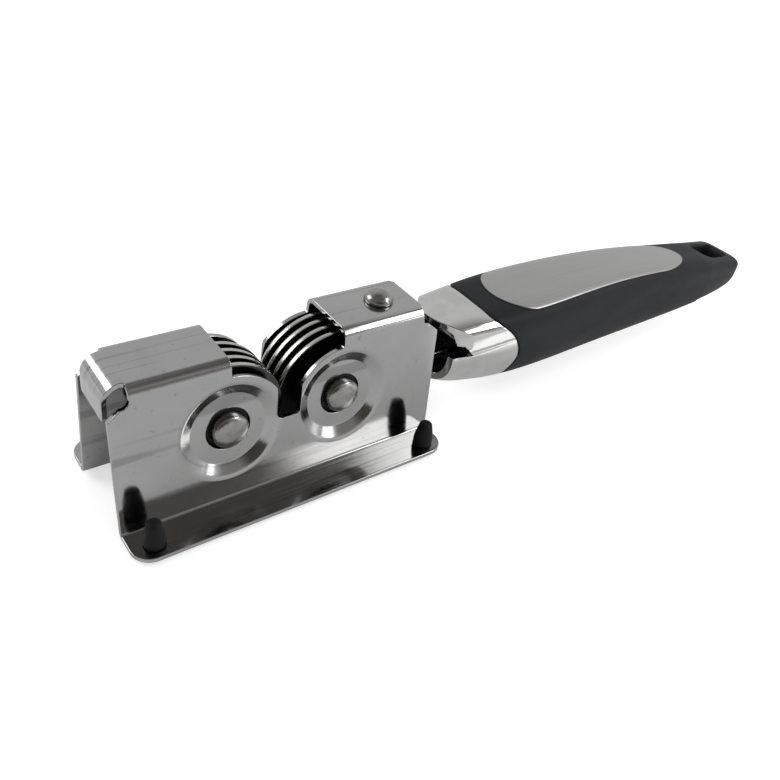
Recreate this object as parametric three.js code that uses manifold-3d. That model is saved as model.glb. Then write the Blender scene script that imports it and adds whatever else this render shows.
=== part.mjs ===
// Roller knife sharpener: a folded sheet head with two rollers of interleaved discs, four push-in feet,
// and a soft handle on a steel tang that is riveted under the head's top.
// Millimetres, +Z up. The feet stand on z = 0, X runs from the head to the tip of the handle,
// the front wall is on the -Y side, and the origin is in the middle of the length.

import * as THREE from 'three';
import { mergeVertices } from 'three/addons/utils/BufferGeometryUtils.js';
import Module from 'manifold-3d';

const wasm = await Module();
wasm.setup();

// Head: one folded sheet
const HEAD_LENGTH = 70;
const HEAD_HEIGHT = 31;
const TOP_WIDTH = 14;
const WALL_SPLAY = THREE.MathUtils.degToRad(5.7);
const SHEET = 1;
const TOP_BEND = 2.2;
const FLANGE_BEND = 0.5;
const FLANGE_WIDTH = 7.7;
const FLANGE_CORNER = 4;
const LEFT_FLAP_BEND = 3.6;
const RIGHT_FLAP_BEND = 1.2;
const FLAP_DROP = 7.3;
const RIGHT_FLAP_SETBACK = 2.8;
const RELIEF_LENGTH = 4;
const RELIEF_DEPTH = 5.6;
const RELIEF_ROUND = 1.8;

// Axle places, the pressed dishes around them, and the knife slot between them
const AXLE_SPACING = 24.7;
const AXLE_BELOW_TOP = 15;
const SLOT_FROM_MIDDLE = 0.45;
const DISH_RADIUS = 10.4;
const DISH_FLOOR_RADIUS = 7.6;
const DISH_DEPTH = 1.2;
const DISH_SINK = 0.05;
const DISH_OVERLAP = 0.28;
const HOLE_RADIUS = 4.5;
const SLOT_WIDTH = 5.2;
const SLOT_BELOW_AXLE = 0.5;
const SLOT_CORNER = 1;
const LEFT_CONTOUR_MEETS = THREE.MathUtils.degToRad(33.6);
const RIGHT_CONTOUR_MEETS = THREE.MathUtils.degToRad(30.4);
const PLATE_OVERHANG = 0.4;

// Rollers
const DISC_RADIUS = 12.6;
const DISC_THICKNESS = 1;
const DISC_PITCH = 2.4;
const DISC_COUNT = 4;
const STACK_SHIFT = -0.45;
const SPACER_RADIUS = 7.5;
const COLLAR_RADIUS = 5;
const AXLE_RADIUS = 3.6;
const AXLE_PROUD = 0.85;
const AXLE_DOME = 0.5;
const BUSH_INSIDE = 0.3;

// Feet
const PAD_HEIGHT = 1.2;
const PAD_RADIUS = 2.5;
const PAD_CHAMFER = 0.5;
const FOOT_NECK_RADIUS = 1.7;
const NUB_BASE_RADIUS = 2.1;
const NUB_TIP_RADIUS = 1.3;
const NUB_HEIGHT = 5.9;
const NUB_STRAIGHT = 1.5;
const NUB_TIP_ROUND = 0.6;
const FOOT_FROM_END = 4.4;
const FOOT_FROM_EDGE = 3.2;

// Tang and its rivet
const TANG_WIDTH = 9;
const TANG_THICKNESS = 1.5;
const TANG_BEND = 1.2;
const TANG_AHEAD_OF_RIVET = 5;
const TANG_DROP_FROM_END = 4.5;
const TANG_HEIGHT = 15.5;
const TANG_IN_CORE = 44;
const RIVET_FROM_END = 11;
const RIVET_SHANK_RADIUS = 2;
const RIVET_HEAD_RADIUS = 3.05;
const RIVET_HEAD_HEIGHT = 2.1;
const RIVET_HEAD_EDGE = 0.5;
const RIVET_TAIL_RADIUS = 3;
const RIVET_TAIL_HEIGHT = 0.9;

// Handle: gap to the head, lengths from the collar's nose, and heights above the flange's underside
const HANDLE_GAP = 3.3;
const HANDLE_LENGTH = 116.4;
const NOSE_RADIUS = 9.6;
const NOSE_SWEEP = THREE.MathUtils.degToRad(72);
const CHIN_RADIUS = 18;
const CHIN_SWEEP = THREE.MathUtils.degToRad(40);
const NOTCH_TOP = 19.2;
const NOTCH_TOP_AT = 5.3;
const NOTCH_END = 16.7;
const NOTCH_END_AT = 7.6;
const NOTCH_LOW = 17.2;
const BAND_AT_TOP = 12.5;
const BAND_AT_SIDE = 21.2;
const BAND_AT_BOTTOM = 19.8;
const BAND_SHOULDER_DROP = 0.3;
const BAND_PULL_DROP = 5.6;
const BAND_SIDE_DROP = 11.5;
const BAND_BOTTOM_DROP = 15.8;
const SKIN = 2;
const CORE_FROM_NOSE = 9.3;
const TAIL_LENGTH = 17.3;
const TAIL_STEP = 0.4;
const END_ROUND = 3;
const END_WIDTH_SHARE = 0.6;
const END_HEIGHT_SHARE = 0.8;
const TOP_FRONT = 23.9;
const TOP_HIGH = 25.2;
const TOP_HIGH_AT = 26.8;
const TOP_MIDDLE = 24.7;
const TOP_MIDDLE_AT = 62.8;
const TOP_END = 18.4;
const BOTTOM_FRONT = 9;
const BOTTOM_CHIN = 6.2;
const BOTTOM_CHIN_AT = 8.8;
const BOTTOM_LOW = 4.45;
const BOTTOM_LOW_AT = 30.8;
const BOTTOM_REAR = 5.1;
const BOTTOM_END = 9.6;
const HALF_FRONT = 8.6;
const HALF_WIDE = 10.9;
const HALF_WIDE_AT = 25.8;
const HALF_MIDDLE = 9.6;
const HALF_MIDDLE_AT = 60.8;
const HALF_END = 7.4;
const WIDEST_SHARE = 0.62;
const TOP_SQUARENESS = 4.6;
const BOTTOM_SQUARENESS = 2.9;

// Inlay plate and hang hole
const INLAY_START = 18.8;
const INLAY_BEFORE_TAIL = 8.3;
const INLAY_FRONT_ROUND = 8;
const INLAY_REAR_ROUND = 16;
const INLAY_MARGIN = 1.9;
const INLAY_THICKNESS = 0.8;
const INLAY_PROUD = 0.15;
const HANG_HOLE_FROM_TIP = 9.3;
const HANG_HOLE_LENGTH = 9.4;
const HANG_HOLE_WIDTH = 7.4;
const HANG_HOLE_ROUND = 2;

// Clearances
const CUT_GAP = 0.3;
const PRESS_GAP = 0.05;
const RUN_GAP = 0.06;
const WASHER_GAP = 0.15;

// Facets
const ROUND = 32;
const DISH_ROUND = 24;
const SMALL_ROUND = 20;
const FOOT_ROUND = 16;
const BEND_STEPS = 4;
const SECTION_POINTS = 20;
const STATION_STEP = 9;
const DOME_STEPS = 4;
const END_STEPS = 5;
const INLAY_STEPS = 8;
const CUT_STEPS = 10;
const SEARCH_STEPS = 40;
const MERGE_DISTANCE = 1e-5;
const FAR = 60;

// Derived places, from the head's left end and the flange's underside
const OVERALL = HEAD_LENGTH + HANDLE_GAP + HANDLE_LENGTH;
const NOSE = HEAD_LENGTH + HANDLE_GAP;
const TIP = NOSE + HANDLE_LENGTH;
const SLOT_MIDDLE = HEAD_LENGTH / 2 - SLOT_FROM_MIDDLE;
const AXLES = [SLOT_MIDDLE - AXLE_SPACING / 2, SLOT_MIDDLE + AXLE_SPACING / 2];
const AXLE_HEIGHT = HEAD_HEIGHT - AXLE_BELOW_TOP;
const RIVET_AT = HEAD_LENGTH - RIVET_FROM_END;
const TANG_START = RIVET_AT - TANG_AHEAD_OF_RIVET;
const TANG_DROP_AT = HEAD_LENGTH - TANG_DROP_FROM_END;
const SLEEVE_LENGTH = HANDLE_LENGTH - TAIL_LENGTH;
const INLAY_END = SLEEVE_LENGTH - INLAY_BEFORE_TAIL;
const HANG_HOLE_AT = HANDLE_LENGTH - HANG_HOLE_FROM_TIP;
const FLANGE_EDGE = wallFace(0) + FLANGE_WIDTH;
const FOLD_TANGENT = Math.tan((Math.PI / 2 - WALL_SPLAY) / 2);
const TOP_FLAT = TOP_WIDTH / 2 - TOP_BEND * FOLD_TANGENT;
const FLOOR_OUTSIDE = wallFace(AXLE_HEIGHT) - DISH_DEPTH / Math.cos(WALL_SPLAY);
const FLOOR_INSIDE = FLOOR_OUTSIDE - SHEET / Math.cos(WALL_SPLAY);
const COLLAR_END = FLOOR_INSIDE - COLLAR_RADIUS * Math.tan(WALL_SPLAY) - WASHER_GAP;

// Materials
const finish = (color, roughness, metalness) =>
  new THREE.MeshStandardMaterial({ color, roughness, metalness });
const chrome = finish(0xb9b9b9, 0.16, 1);
const steel = finish(0xd0d0cc, 0.25, 1);
const pinSteel = finish(0x9a9a98, 0.3, 1);
const brightChrome = finish(0xdededc, 0.08, 1);
const brushed = finish(0xa5a5a2, 0.4, 1);
const blackNylon = finish(0x141414, 0.5, 0);
const rubber = finish(0x17181b, 0.75, 0);
const softGrip = finish(0x2a2e36, 0.6, 0);
const hardCore = finish(0x262a31, 0.5, 0);

// Outside of a splayed wall at height z
function wallFace(z) {
  return TOP_WIDTH / 2 + (HEAD_HEIGHT - z) * Math.tan(WALL_SPLAY);
}

// Closed solid from a three.js geometry, turned inside out if its faces point in
function solid(geometry) {
  const bare = geometry.clone();
  bare.deleteAttribute('normal');
  bare.deleteAttribute('uv');
  const merged = mergeVertices(bare, MERGE_DISTANCE);
  const vertProperties = Float32Array.from(merged.attributes.position.array);
  const triVerts = Uint32Array.from(merged.index.array);
  if (signedVolume(vertProperties, triVerts) < 0) {
    triVerts.reverse();
  }
  return new wasm.Manifold(new wasm.Mesh({ numProp: 3, vertProperties, triVerts }));
}

function signedVolume(points, triangles) {
  const corner = (index) => new THREE.Vector3().fromArray(points, 3 * index);
  let total = 0;
  for (let i = 0; i < triangles.length; i += 3) {
    const a = corner(triangles[i]);
    const b = corner(triangles[i + 1]);
    const c = corner(triangles[i + 2]);
    total += a.dot(b.cross(c)) / 6;
  }
  return total;
}

function geometryOf(manifold) {
  const mesh = manifold.getMesh();
  const geometry = new THREE.BufferGeometry();
  geometry.setAttribute('position', new THREE.BufferAttribute(Float32Array.from(mesh.vertProperties), 3));
  geometry.setIndex(Array.from(mesh.triVerts));
  geometry.computeVertexNormals();
  return geometry;
}

const point = (x, y) => new THREE.Vector2(x, y);

function arc(centreX, centreY, radius, from, to, steps) {
  const step = (to - from) / steps;
  return Array.from({ length: steps + 1 }, (_, i) => {
    const angle = from + i * step;
    return point(centreX + radius * Math.cos(angle), centreY + radius * Math.sin(angle));
  });
}

const extrusion = (shape, depth, curveSegments = BEND_STEPS) =>
  new THREE.ExtrudeGeometry(shape, { depth, bevelEnabled: false, curveSegments });

// Outline in (y, z), drawn out along X
function alongX(shape, from, to) {
  const geometry = extrusion(shape, to - from);
  const basis = new THREE.Matrix4();
  basis.makeBasis(new THREE.Vector3(0, 1, 0), new THREE.Vector3(0, 0, 1), new THREE.Vector3(1, 0, 0));
  return geometry.applyMatrix4(basis).translate(from, 0, 0);
}

// Outline in (x, z), drawn out along Y to both sides of the middle
function acrossY(shape, halfWidth) {
  const geometry = extrusion(shape, 2 * halfWidth);
  return geometry.rotateX(Math.PI / 2).translate(0, halfWidth, 0);
}

// Outline in (x, y), drawn out along Z
function upZ(shape, from, to) {
  return extrusion(shape, to - from).translate(0, 0, from);
}

// Profile in (radius, height), turned about Y
function turned(profile, segments) {
  return new THREE.LatheGeometry(profile, segments);
}

// A ring turned about Y, from one height to another
function ring(inner, outer, from, to, segments) {
  const corners = [point(inner, from), point(outer, from), point(outer, to), point(inner, to)];
  return turned([...corners, corners[0]], segments);
}

const rodZ = (radius, from, to, segments) =>
  new THREE.CylinderGeometry(radius, radius, to - from, segments)
    .rotateX(Math.PI / 2)
    .translate(0, 0, (from + to) / 2);

function roundedRectangle(x0, y0, x1, y1, radius) {
  const shape = new THREE.Shape();
  shape.absarc(x1 - radius, y1 - radius, radius, 0, Math.PI / 2);
  shape.absarc(x0 + radius, y1 - radius, radius, Math.PI / 2, Math.PI);
  shape.absarc(x0 + radius, y0 + radius, radius, Math.PI, 1.5 * Math.PI);
  shape.absarc(x1 - radius, y0 + radius, radius, 1.5 * Math.PI, 2 * Math.PI);
  return shape;
}

// Section of the folded sheet: top, two bends, splayed walls, two bends and outward flanges
function sheetSection() {
  const upright = Math.PI / 2;
  const topZ = HEAD_HEIGHT - TOP_BEND;
  const footY = wallFace(SHEET) + FLANGE_BEND * FOLD_TANGENT;
  const footZ = SHEET + FLANGE_BEND;
  const underBend = FLANGE_BEND + SHEET;
  const turn = Math.PI;
  const side = [
    ...arc(TOP_FLAT, topZ, TOP_BEND, upright, WALL_SPLAY, BEND_STEPS),
    ...arc(footY, footZ, FLANGE_BEND, WALL_SPLAY + turn, upright + turn, BEND_STEPS),
    point(FLANGE_EDGE, SHEET),
    point(FLANGE_EDGE, 0),
    ...arc(footY, footZ, underBend, upright + turn, WALL_SPLAY + turn, BEND_STEPS),
    ...arc(TOP_FLAT, topZ, TOP_BEND - SHEET, WALL_SPLAY, upright, BEND_STEPS),
  ];
  const otherSide = side.map((p) => point(-p.x, p.y)).reverse();
  return new THREE.Shape([...side, ...otherSide]);
}

// Cut at an end of the head that parts the walls from the flap, with a round inner corner
function reliefShape(fromEnd) {
  const low = HEAD_HEIGHT - RELIEF_DEPTH;
  const inner = fromEnd(RELIEF_LENGTH);
  const shape = new THREE.Shape();
  shape.moveTo(fromEnd(-FAR), low);
  shape.lineTo(fromEnd(0), low);
  shape.lineTo(fromEnd(RELIEF_LENGTH - RELIEF_ROUND), low + RELIEF_ROUND);
  shape.quadraticCurveTo(inner, low + RELIEF_ROUND, inner, low + 2 * RELIEF_ROUND);
  shape.lineTo(inner, FAR);
  shape.lineTo(fromEnd(-FAR), FAR);
  return shape;
}

// End of the top plate, bent down to a flap
function flapShape(fromEnd, setback, bend) {
  const bendX = setback + bend;
  const bendZ = HEAD_HEIGHT - bend;
  const low = HEAD_HEIGHT - FLAP_DROP;
  const inPlate = RELIEF_LENGTH + SHEET;
  const outline = [
    point(inPlate, HEAD_HEIGHT),
    ...arc(bendX, bendZ, bend, Math.PI / 2, Math.PI, BEND_STEPS),
    point(setback, low),
    point(setback + SHEET, low),
    ...arc(bendX, bendZ, bend - SHEET, Math.PI, Math.PI / 2, BEND_STEPS),
    point(inPlate, HEAD_HEIGHT - SHEET),
  ];
  return new THREE.Shape(outline.map((p) => point(fromEnd(p.x), p.y)));
}

// Opening for the knife: between the top plates, round the axles and down a narrow slot
function slotShape() {
  const low = AXLE_HEIGHT - SLOT_BELOW_AXLE;
  const half = SLOT_WIDTH / 2;
  const leftCorner = SLOT_MIDDLE - half + SLOT_CORNER;
  const rightCorner = SLOT_MIDDLE + half - SLOT_CORNER;
  const reach = AXLE_SPACING / 2 - half;
  const leftContour = reach / Math.cos(LEFT_CONTOUR_MEETS);
  const rightContour = reach / Math.cos(RIGHT_CONTOUR_MEETS);
  const quarter = Math.PI / 2;
  const leftTurn = [Math.acos(PLATE_OVERHANG / leftContour), LEFT_CONTOUR_MEETS];
  const rightTurn = [2 * quarter - RIGHT_CONTOUR_MEETS, Math.acos(-PLATE_OVERHANG / rightContour)];
  return new THREE.Shape([
    point(AXLES[0] + PLATE_OVERHANG, FAR),
    ...arc(AXLES[0], AXLE_HEIGHT, leftContour, ...leftTurn, 2 * BEND_STEPS),
    ...arc(leftCorner, low + SLOT_CORNER, SLOT_CORNER, 2 * quarter, 3 * quarter, BEND_STEPS),
    ...arc(rightCorner, low + SLOT_CORNER, SLOT_CORNER, 3 * quarter, 4 * quarter, BEND_STEPS),
    ...arc(AXLES[1], AXLE_HEIGHT, rightContour, ...rightTurn, 2 * BEND_STEPS),
    point(AXLES[1] - PLATE_OVERHANG, FAR),
  ]);
}

// Places a shape turned about Y on the outside of a wall, square to it, at an axle
function onWall(geometry, axleX, side) {
  const placed = geometry.clone();
  if (side < 0) {
    placed.rotateZ(Math.PI);
  }
  return placed.rotateX(side * WALL_SPLAY).translate(axleX, side * wallFace(AXLE_HEIGHT), AXLE_HEIGHT);
}

// Dish pressed into a wall: sloped rim, flat floor and the axle's hole
function dishCup() {
  const slope = [point(DISH_RADIUS, -DISH_SINK), point(DISH_FLOOR_RADIUS, -DISH_DEPTH)];
  const rim = [...slope, point(HOLE_RADIUS, -DISH_DEPTH)];
  const back = rim.map((p) => point(p.x, p.y - SHEET)).reverse();
  return turned([...rim, ...back, rim[0]], DISH_ROUND);
}

function footPlaces() {
  const endwise = [FOOT_FROM_END, HEAD_LENGTH - FOOT_FROM_END];
  const sideways = [-(FLANGE_EDGE - FOOT_FROM_EDGE), FLANGE_EDGE - FOOT_FROM_EDGE];
  return sideways.flatMap((y) => endwise.map((x) => [x, y]));
}

function housing() {
  const ends = [
    { fromEnd: (x) => x, setback: 0, bend: LEFT_FLAP_BEND },
    { fromEnd: (x) => HEAD_LENGTH - x, setback: RIGHT_FLAP_SETBACK, bend: RIGHT_FLAP_BEND },
  ];
  let sheet = solid(alongX(sheetSection(), 0, HEAD_LENGTH));
  for (const { fromEnd, setback, bend } of ends) {
    sheet = sheet.subtract(solid(acrossY(reliefShape(fromEnd), FAR)));
    sheet = sheet.add(solid(acrossY(flapShape(fromEnd, setback, bend), TOP_FLAT)));
  }
  const plug = new THREE.CylinderGeometry(
    DISH_RADIUS - DISH_OVERLAP, DISH_RADIUS - DISH_OVERLAP, 3 * SHEET, DISH_ROUND);
  plug.translate(0, -SHEET / 2, 0);
  for (const axleX of AXLES) {
    for (const side of [-1, 1]) {
      sheet = sheet.subtract(solid(onWall(plug, axleX, side)));
      sheet = sheet.add(solid(onWall(dishCup(), axleX, side)));
    }
  }
  sheet = sheet.subtract(solid(acrossY(slotShape(), FAR)));
  sheet = sheet.intersect(solid(upZ(
    roundedRectangle(0, -FLANGE_EDGE, HEAD_LENGTH, FLANGE_EDGE, FLANGE_CORNER), -FAR, FAR)));
  for (const [x, y] of footPlaces()) {
    const hole = rodZ(FOOT_NECK_RADIUS + CUT_GAP, -SHEET, 2 * SHEET, FOOT_ROUND).translate(x, y, 0);
    sheet = sheet.subtract(solid(hole));
  }
  const rivetHole = rodZ(RIVET_SHANK_RADIUS + CUT_GAP, HEAD_HEIGHT - 2 * SHEET, FAR, FOOT_ROUND);
  return geometryOf(sheet.subtract(solid(rivetHole.translate(RIVET_AT, 0, 0))));
}

// Half outline of a low dome, from its edge to its apex
function dome(radius, from, height) {
  const angles = Array.from({ length: DOME_STEPS }, (_, i) => (Math.PI / 2) * (i / DOME_STEPS));
  const edge = angles.map((angle) => point(radius * Math.cos(angle), from + height * Math.sin(angle)));
  return [...edge, point(0, from + height)];
}

// Pin with domed ends that stand a little proud of the walls
function axle() {
  const apex = wallFace(AXLE_HEIGHT) + AXLE_PROUD;
  const shoulder = apex - AXLE_DOME;
  const upper = dome(AXLE_RADIUS, shoulder, AXLE_DOME);
  const lower = upper.map((p) => point(p.x, -p.y)).reverse();
  return turned([...lower, ...upper], SMALL_ROUND);
}

function bush() {
  const bore = (AXLE_RADIUS + RUN_GAP) / Math.cos(Math.PI / SMALL_ROUND);
  const inEnd = COLLAR_END + WASHER_GAP;
  return ring(bore, HOLE_RADIUS - CUT_GAP, inEnd, FLOOR_OUTSIDE - BUSH_INSIDE, SMALL_ROUND);
}

// Push-in foot: pad under the flange, neck through it and a tapered nub above it
function foot() {
  const above = SHEET + PRESS_GAP;
  const tip = above + NUB_HEIGHT;
  const profile = [
    point(0, -PAD_HEIGHT),
    point(PAD_RADIUS - PAD_CHAMFER, -PAD_HEIGHT),
    point(PAD_RADIUS, -PAD_HEIGHT + PAD_CHAMFER),
    point(PAD_RADIUS, -PRESS_GAP),
    point(FOOT_NECK_RADIUS, -PRESS_GAP),
    point(FOOT_NECK_RADIUS, above),
    point(NUB_BASE_RADIUS, above),
    point(NUB_BASE_RADIUS, above + NUB_STRAIGHT),
    point(NUB_TIP_RADIUS, tip - NUB_TIP_ROUND),
    point(NUB_TIP_RADIUS - NUB_TIP_ROUND, tip),
    point(0, tip),
  ];
  return turned(profile, FOOT_ROUND).rotateX(Math.PI / 2);
}

function rivet() {
  const seat = HEAD_HEIGHT + PRESS_GAP;
  const under = HEAD_HEIGHT - SHEET - TANG_THICKNESS - 2 * PRESS_GAP;
  const profile = [
    point(0, under - RIVET_TAIL_HEIGHT),
    point(RIVET_TAIL_RADIUS, under - RIVET_TAIL_HEIGHT),
    point(RIVET_TAIL_RADIUS, under),
    point(RIVET_SHANK_RADIUS, under),
    point(RIVET_SHANK_RADIUS, seat),
    point(RIVET_HEAD_RADIUS, seat),
    ...dome(RIVET_HEAD_RADIUS, seat + RIVET_HEAD_EDGE, RIVET_HEAD_HEIGHT - RIVET_HEAD_EDGE),
  ];
  return turned(profile, SMALL_ROUND).rotateX(Math.PI / 2);
}

// Strip that runs under the top plate, steps down inside the head and runs on into the handle
function tang() {
  const top = HEAD_HEIGHT - SHEET - PRESS_GAP;
  const bottom = top - TANG_THICKNESS;
  const low = TANG_HEIGHT - TANG_THICKNESS / 2;
  const high = TANG_HEIGHT + TANG_THICKNESS / 2;
  const wide = TANG_BEND + TANG_THICKNESS;
  const dropLeft = TANG_DROP_AT - TANG_THICKNESS;
  const quarter = Math.PI / 2;
  const end = NOSE + CORE_FROM_NOSE + TANG_IN_CORE;
  const outline = new THREE.Shape([
    point(TANG_START, bottom),
    ...arc(dropLeft - TANG_BEND, bottom - TANG_BEND, TANG_BEND, quarter, 0, BEND_STEPS),
    ...arc(dropLeft + wide, low + wide, wide, 2 * quarter, 3 * quarter, BEND_STEPS),
    point(end, low),
    point(end, high),
    ...arc(TANG_DROP_AT + TANG_BEND, high + TANG_BEND, TANG_BEND, 3 * quarter, 2 * quarter, BEND_STEPS),
    ...arc(TANG_DROP_AT - wide, top - wide, wide, 0, quarter, BEND_STEPS),
    point(TANG_START, top),
  ]);
  const strip = solid(acrossY(outline, TANG_WIDTH / 2));
  const rivetHole = rodZ(RIVET_SHANK_RADIUS + CUT_GAP, bottom - SHEET, top + SHEET, FOOT_ROUND);
  return geometryOf(strip.subtract(solid(rivetHole.translate(RIVET_AT, 0, 0))));
}

// Handle outlines along its length, as smooth curves through a few named places
const outlineThrough = (...places) =>
  new THREE.SplineCurve(places.map(([at, value]) => point(NOSE + at, value)));
const TOP_LINE = outlineThrough(
  [0, TOP_FRONT], [TOP_HIGH_AT, TOP_HIGH], [TOP_MIDDLE_AT, TOP_MIDDLE], [HANDLE_LENGTH, TOP_END]);
const BOTTOM_LINE = outlineThrough(
  [0, BOTTOM_FRONT], [BOTTOM_CHIN_AT, BOTTOM_CHIN], [BOTTOM_LOW_AT, BOTTOM_LOW],
  [SLEEVE_LENGTH, BOTTOM_REAR], [HANDLE_LENGTH, BOTTOM_END]);
const SIDE_LINE = outlineThrough(
  [0, HALF_FRONT], [HALF_WIDE_AT, HALF_WIDE], [HALF_MIDDLE_AT, HALF_MIDDLE], [HANDLE_LENGTH, HALF_END]);

function valueAt(curve, x) {
  let low = 0;
  let high = 1;
  for (let i = 0; i < SEARCH_STEPS; i += 1) {
    const middle = (low + high) / 2;
    if (curve.getPoint(middle).x < x) {
      low = middle;
    } else {
      high = middle;
    }
  }
  return curve.getPoint(low).y;
}

// How far the section has closed in towards the rounded end
function endShare(x, end) {
  const left = Math.min(1, Math.max(0, (end - x) / END_ROUND));
  return Math.sqrt(1 - (1 - left) * (1 - left));
}

function power(value, squareness) {
  return Math.sign(value) * Math.abs(value) ** (2 / squareness);
}

// One closed section of the handle: flat-topped above its widest line, rounder below it
function handleSection(x, inset) {
  const top = valueAt(TOP_LINE, x) - inset;
  const bottom = valueAt(BOTTOM_LINE, x) + inset;
  const widest = bottom + WIDEST_SHARE * (top - bottom);
  const close = endShare(x, TIP - inset);
  const endWidth = END_WIDTH_SHARE + (1 - END_WIDTH_SHARE) * close;
  const endHeight = END_HEIGHT_SHARE + (1 - END_HEIGHT_SHARE) * close;
  const half = (valueAt(SIDE_LINE, x) - inset) * endWidth;
  return Array.from({ length: SECTION_POINTS }, (_, i) => {
    const angle = (2 * Math.PI * i) / SECTION_POINTS;
    const rise = Math.sin(angle);
    const squareness = rise > 0 ? TOP_SQUARENESS : BOTTOM_SQUARENESS;
    const reach = (rise > 0 ? top - widest : widest - bottom) * endHeight;
    const y = half * power(Math.cos(angle), squareness);
    return new THREE.Vector3(x, y, widest + reach * power(rise, squareness));
  });
}

// Closed skin through the handle's sections between two places
function handleForm(from, to, inset) {
  const steps = Math.max(2, Math.ceil((to - from) / STATION_STEP));
  const even = Array.from({ length: steps + 1 }, (_, i) => from + ((to - from) * i) / steps);
  const roundStart = TIP - END_ROUND;
  const places = even.filter((x) => x < roundStart || to <= roundStart);
  for (let i = 0; to > roundStart && i <= END_STEPS; i += 1) {
    places.push(roundStart + (to - roundStart) * Math.sin((Math.PI / 2) * (i / END_STEPS)));
  }
  const rings = places.map((x) => handleSection(x, inset));
  const vertices = rings.flat();
  const triangles = [];
  for (let r = 0; r + 1 < rings.length; r += 1) {
    for (let i = 0; i < SECTION_POINTS; i += 1) {
      const a = r * SECTION_POINTS + i;
      const b = r * SECTION_POINTS + ((i + 1) % SECTION_POINTS);
      triangles.push(a, b, a + SECTION_POINTS, b, b + SECTION_POINTS, a + SECTION_POINTS);
    }
  }
  const last = (rings.length - 1) * SECTION_POINTS;
  for (let i = 1; i + 1 < SECTION_POINTS; i += 1) {
    triangles.push(0, i + 1, i, last, last + i, last + i + 1);
  }
  const geometry = new THREE.BufferGeometry().setFromPoints(vertices);
  geometry.setIndex(triangles);
  return solid(geometry);
}

// Everything ahead of the line where the collar meets the soft grip, moved along X by a shift
function aheadOfBand(shift) {
  const topX = NOSE + BAND_AT_TOP;
  const sideX = NOSE + BAND_AT_SIDE;
  const bottomX = NOSE + BAND_AT_BOTTOM;
  const topZ = valueAt(TOP_LINE, topX);
  const shape = new THREE.Shape();
  shape.moveTo(-FAR, -FAR);
  shape.lineTo(bottomX, -FAR);
  shape.lineTo(bottomX, topZ - BAND_BOTTOM_DROP);
  shape.lineTo(sideX, topZ - BAND_SIDE_DROP);
  shape.quadraticCurveTo(sideX, topZ - BAND_PULL_DROP, topX, topZ - BAND_SHOULDER_DROP);
  shape.lineTo(topX, FAR);
  shape.lineTo(-FAR, FAR);
  const geometry = extrusion(shape, 2 * FAR, CUT_STEPS);
  return solid(geometry.rotateX(Math.PI / 2).translate(shift, FAR, 0));
}

// Everything behind a front that is round when seen from above
function behindRound(radius, sweep, low, high) {
  const shape = new THREE.Shape();
  shape.absarc(NOSE + radius, 0, radius, Math.PI - sweep, Math.PI + sweep);
  shape.lineTo(TIP, -FAR);
  shape.lineTo(TIP, FAR);
  return solid(extrusion(shape, high - low, CUT_STEPS).translate(0, 0, low));
}

// Everything behind the nose of the collar: a pointed top, a blunter chin and a notch between them
function behindNose() {
  const top = behindRound(NOSE_RADIUS, NOSE_SWEEP, NOTCH_END, FAR);
  const chin = behindRound(CHIN_RADIUS, CHIN_SWEEP, -FAR, NOTCH_TOP);
  const notch = new THREE.Shape();
  notch.moveTo(NOSE - SKIN, NOTCH_LOW);
  notch.lineTo(NOSE + NOTCH_END_AT, NOTCH_END);
  notch.lineTo(NOSE + NOTCH_TOP_AT, NOTCH_TOP);
  notch.lineTo(NOSE - SKIN, NOTCH_TOP);
  return top.add(chin).subtract(solid(acrossY(notch, FAR)));
}

// Collar between the head and the grip: a hollow shell with an open mouth
function bolster() {
  const behind = NOSE + BAND_AT_SIDE + SKIN;
  const shell = handleForm(NOSE - SKIN, behind, 0).intersect(aheadOfBand(0)).intersect(behindNose());
  return geometryOf(shell.subtract(handleForm(NOSE - 2 * SKIN, behind + SKIN, SKIN)));
}

// Outline of the inlay plate from above, grown by a margin
function inlayOutline(grow) {
  const start = NOSE + INLAY_START - grow;
  const end = NOSE + INLAY_END + grow;
  const edge = (x) => valueAt(SIDE_LINE, x) - INLAY_MARGIN + grow;
  const sideStart = start + INLAY_FRONT_ROUND;
  const sideEnd = end - INLAY_REAR_ROUND;
  const near = [];
  for (let i = 1; i < INLAY_STEPS; i += 1) {
    const angle = (Math.PI / 2) * (i / INLAY_STEPS);
    near.push(point(sideStart - INLAY_FRONT_ROUND * Math.cos(angle), edge(sideStart) * Math.sin(angle)));
  }
  for (let i = 0; i <= INLAY_STEPS; i += 1) {
    const x = sideStart + ((sideEnd - sideStart) * i) / INLAY_STEPS;
    near.push(point(x, edge(x)));
  }
  for (let i = 1; i < INLAY_STEPS; i += 1) {
    const angle = (Math.PI / 2) * (i / INLAY_STEPS);
    near.push(point(sideEnd + INLAY_REAR_ROUND * Math.sin(angle), edge(sideEnd) * Math.cos(angle)));
  }
  const far = near.map((p) => point(p.x, -p.y)).reverse();
  return new THREE.Shape([point(start, 0), ...near, point(end, 0), ...far]);
}

const abovePlate = (grow) => solid(upZ(inlayOutline(grow), TANG_HEIGHT, FAR));

// Plate that follows the top of the grip
function inlay() {
  const skin = handleForm(NOSE, TIP - END_ROUND, 0);
  const top = skin.translate([0, 0, INLAY_PROUD]);
  const bottom = skin.translate([0, 0, INLAY_PROUD - INLAY_THICKNESS]);
  return geometryOf(abovePlate(0).intersect(top).subtract(bottom));
}

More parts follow.
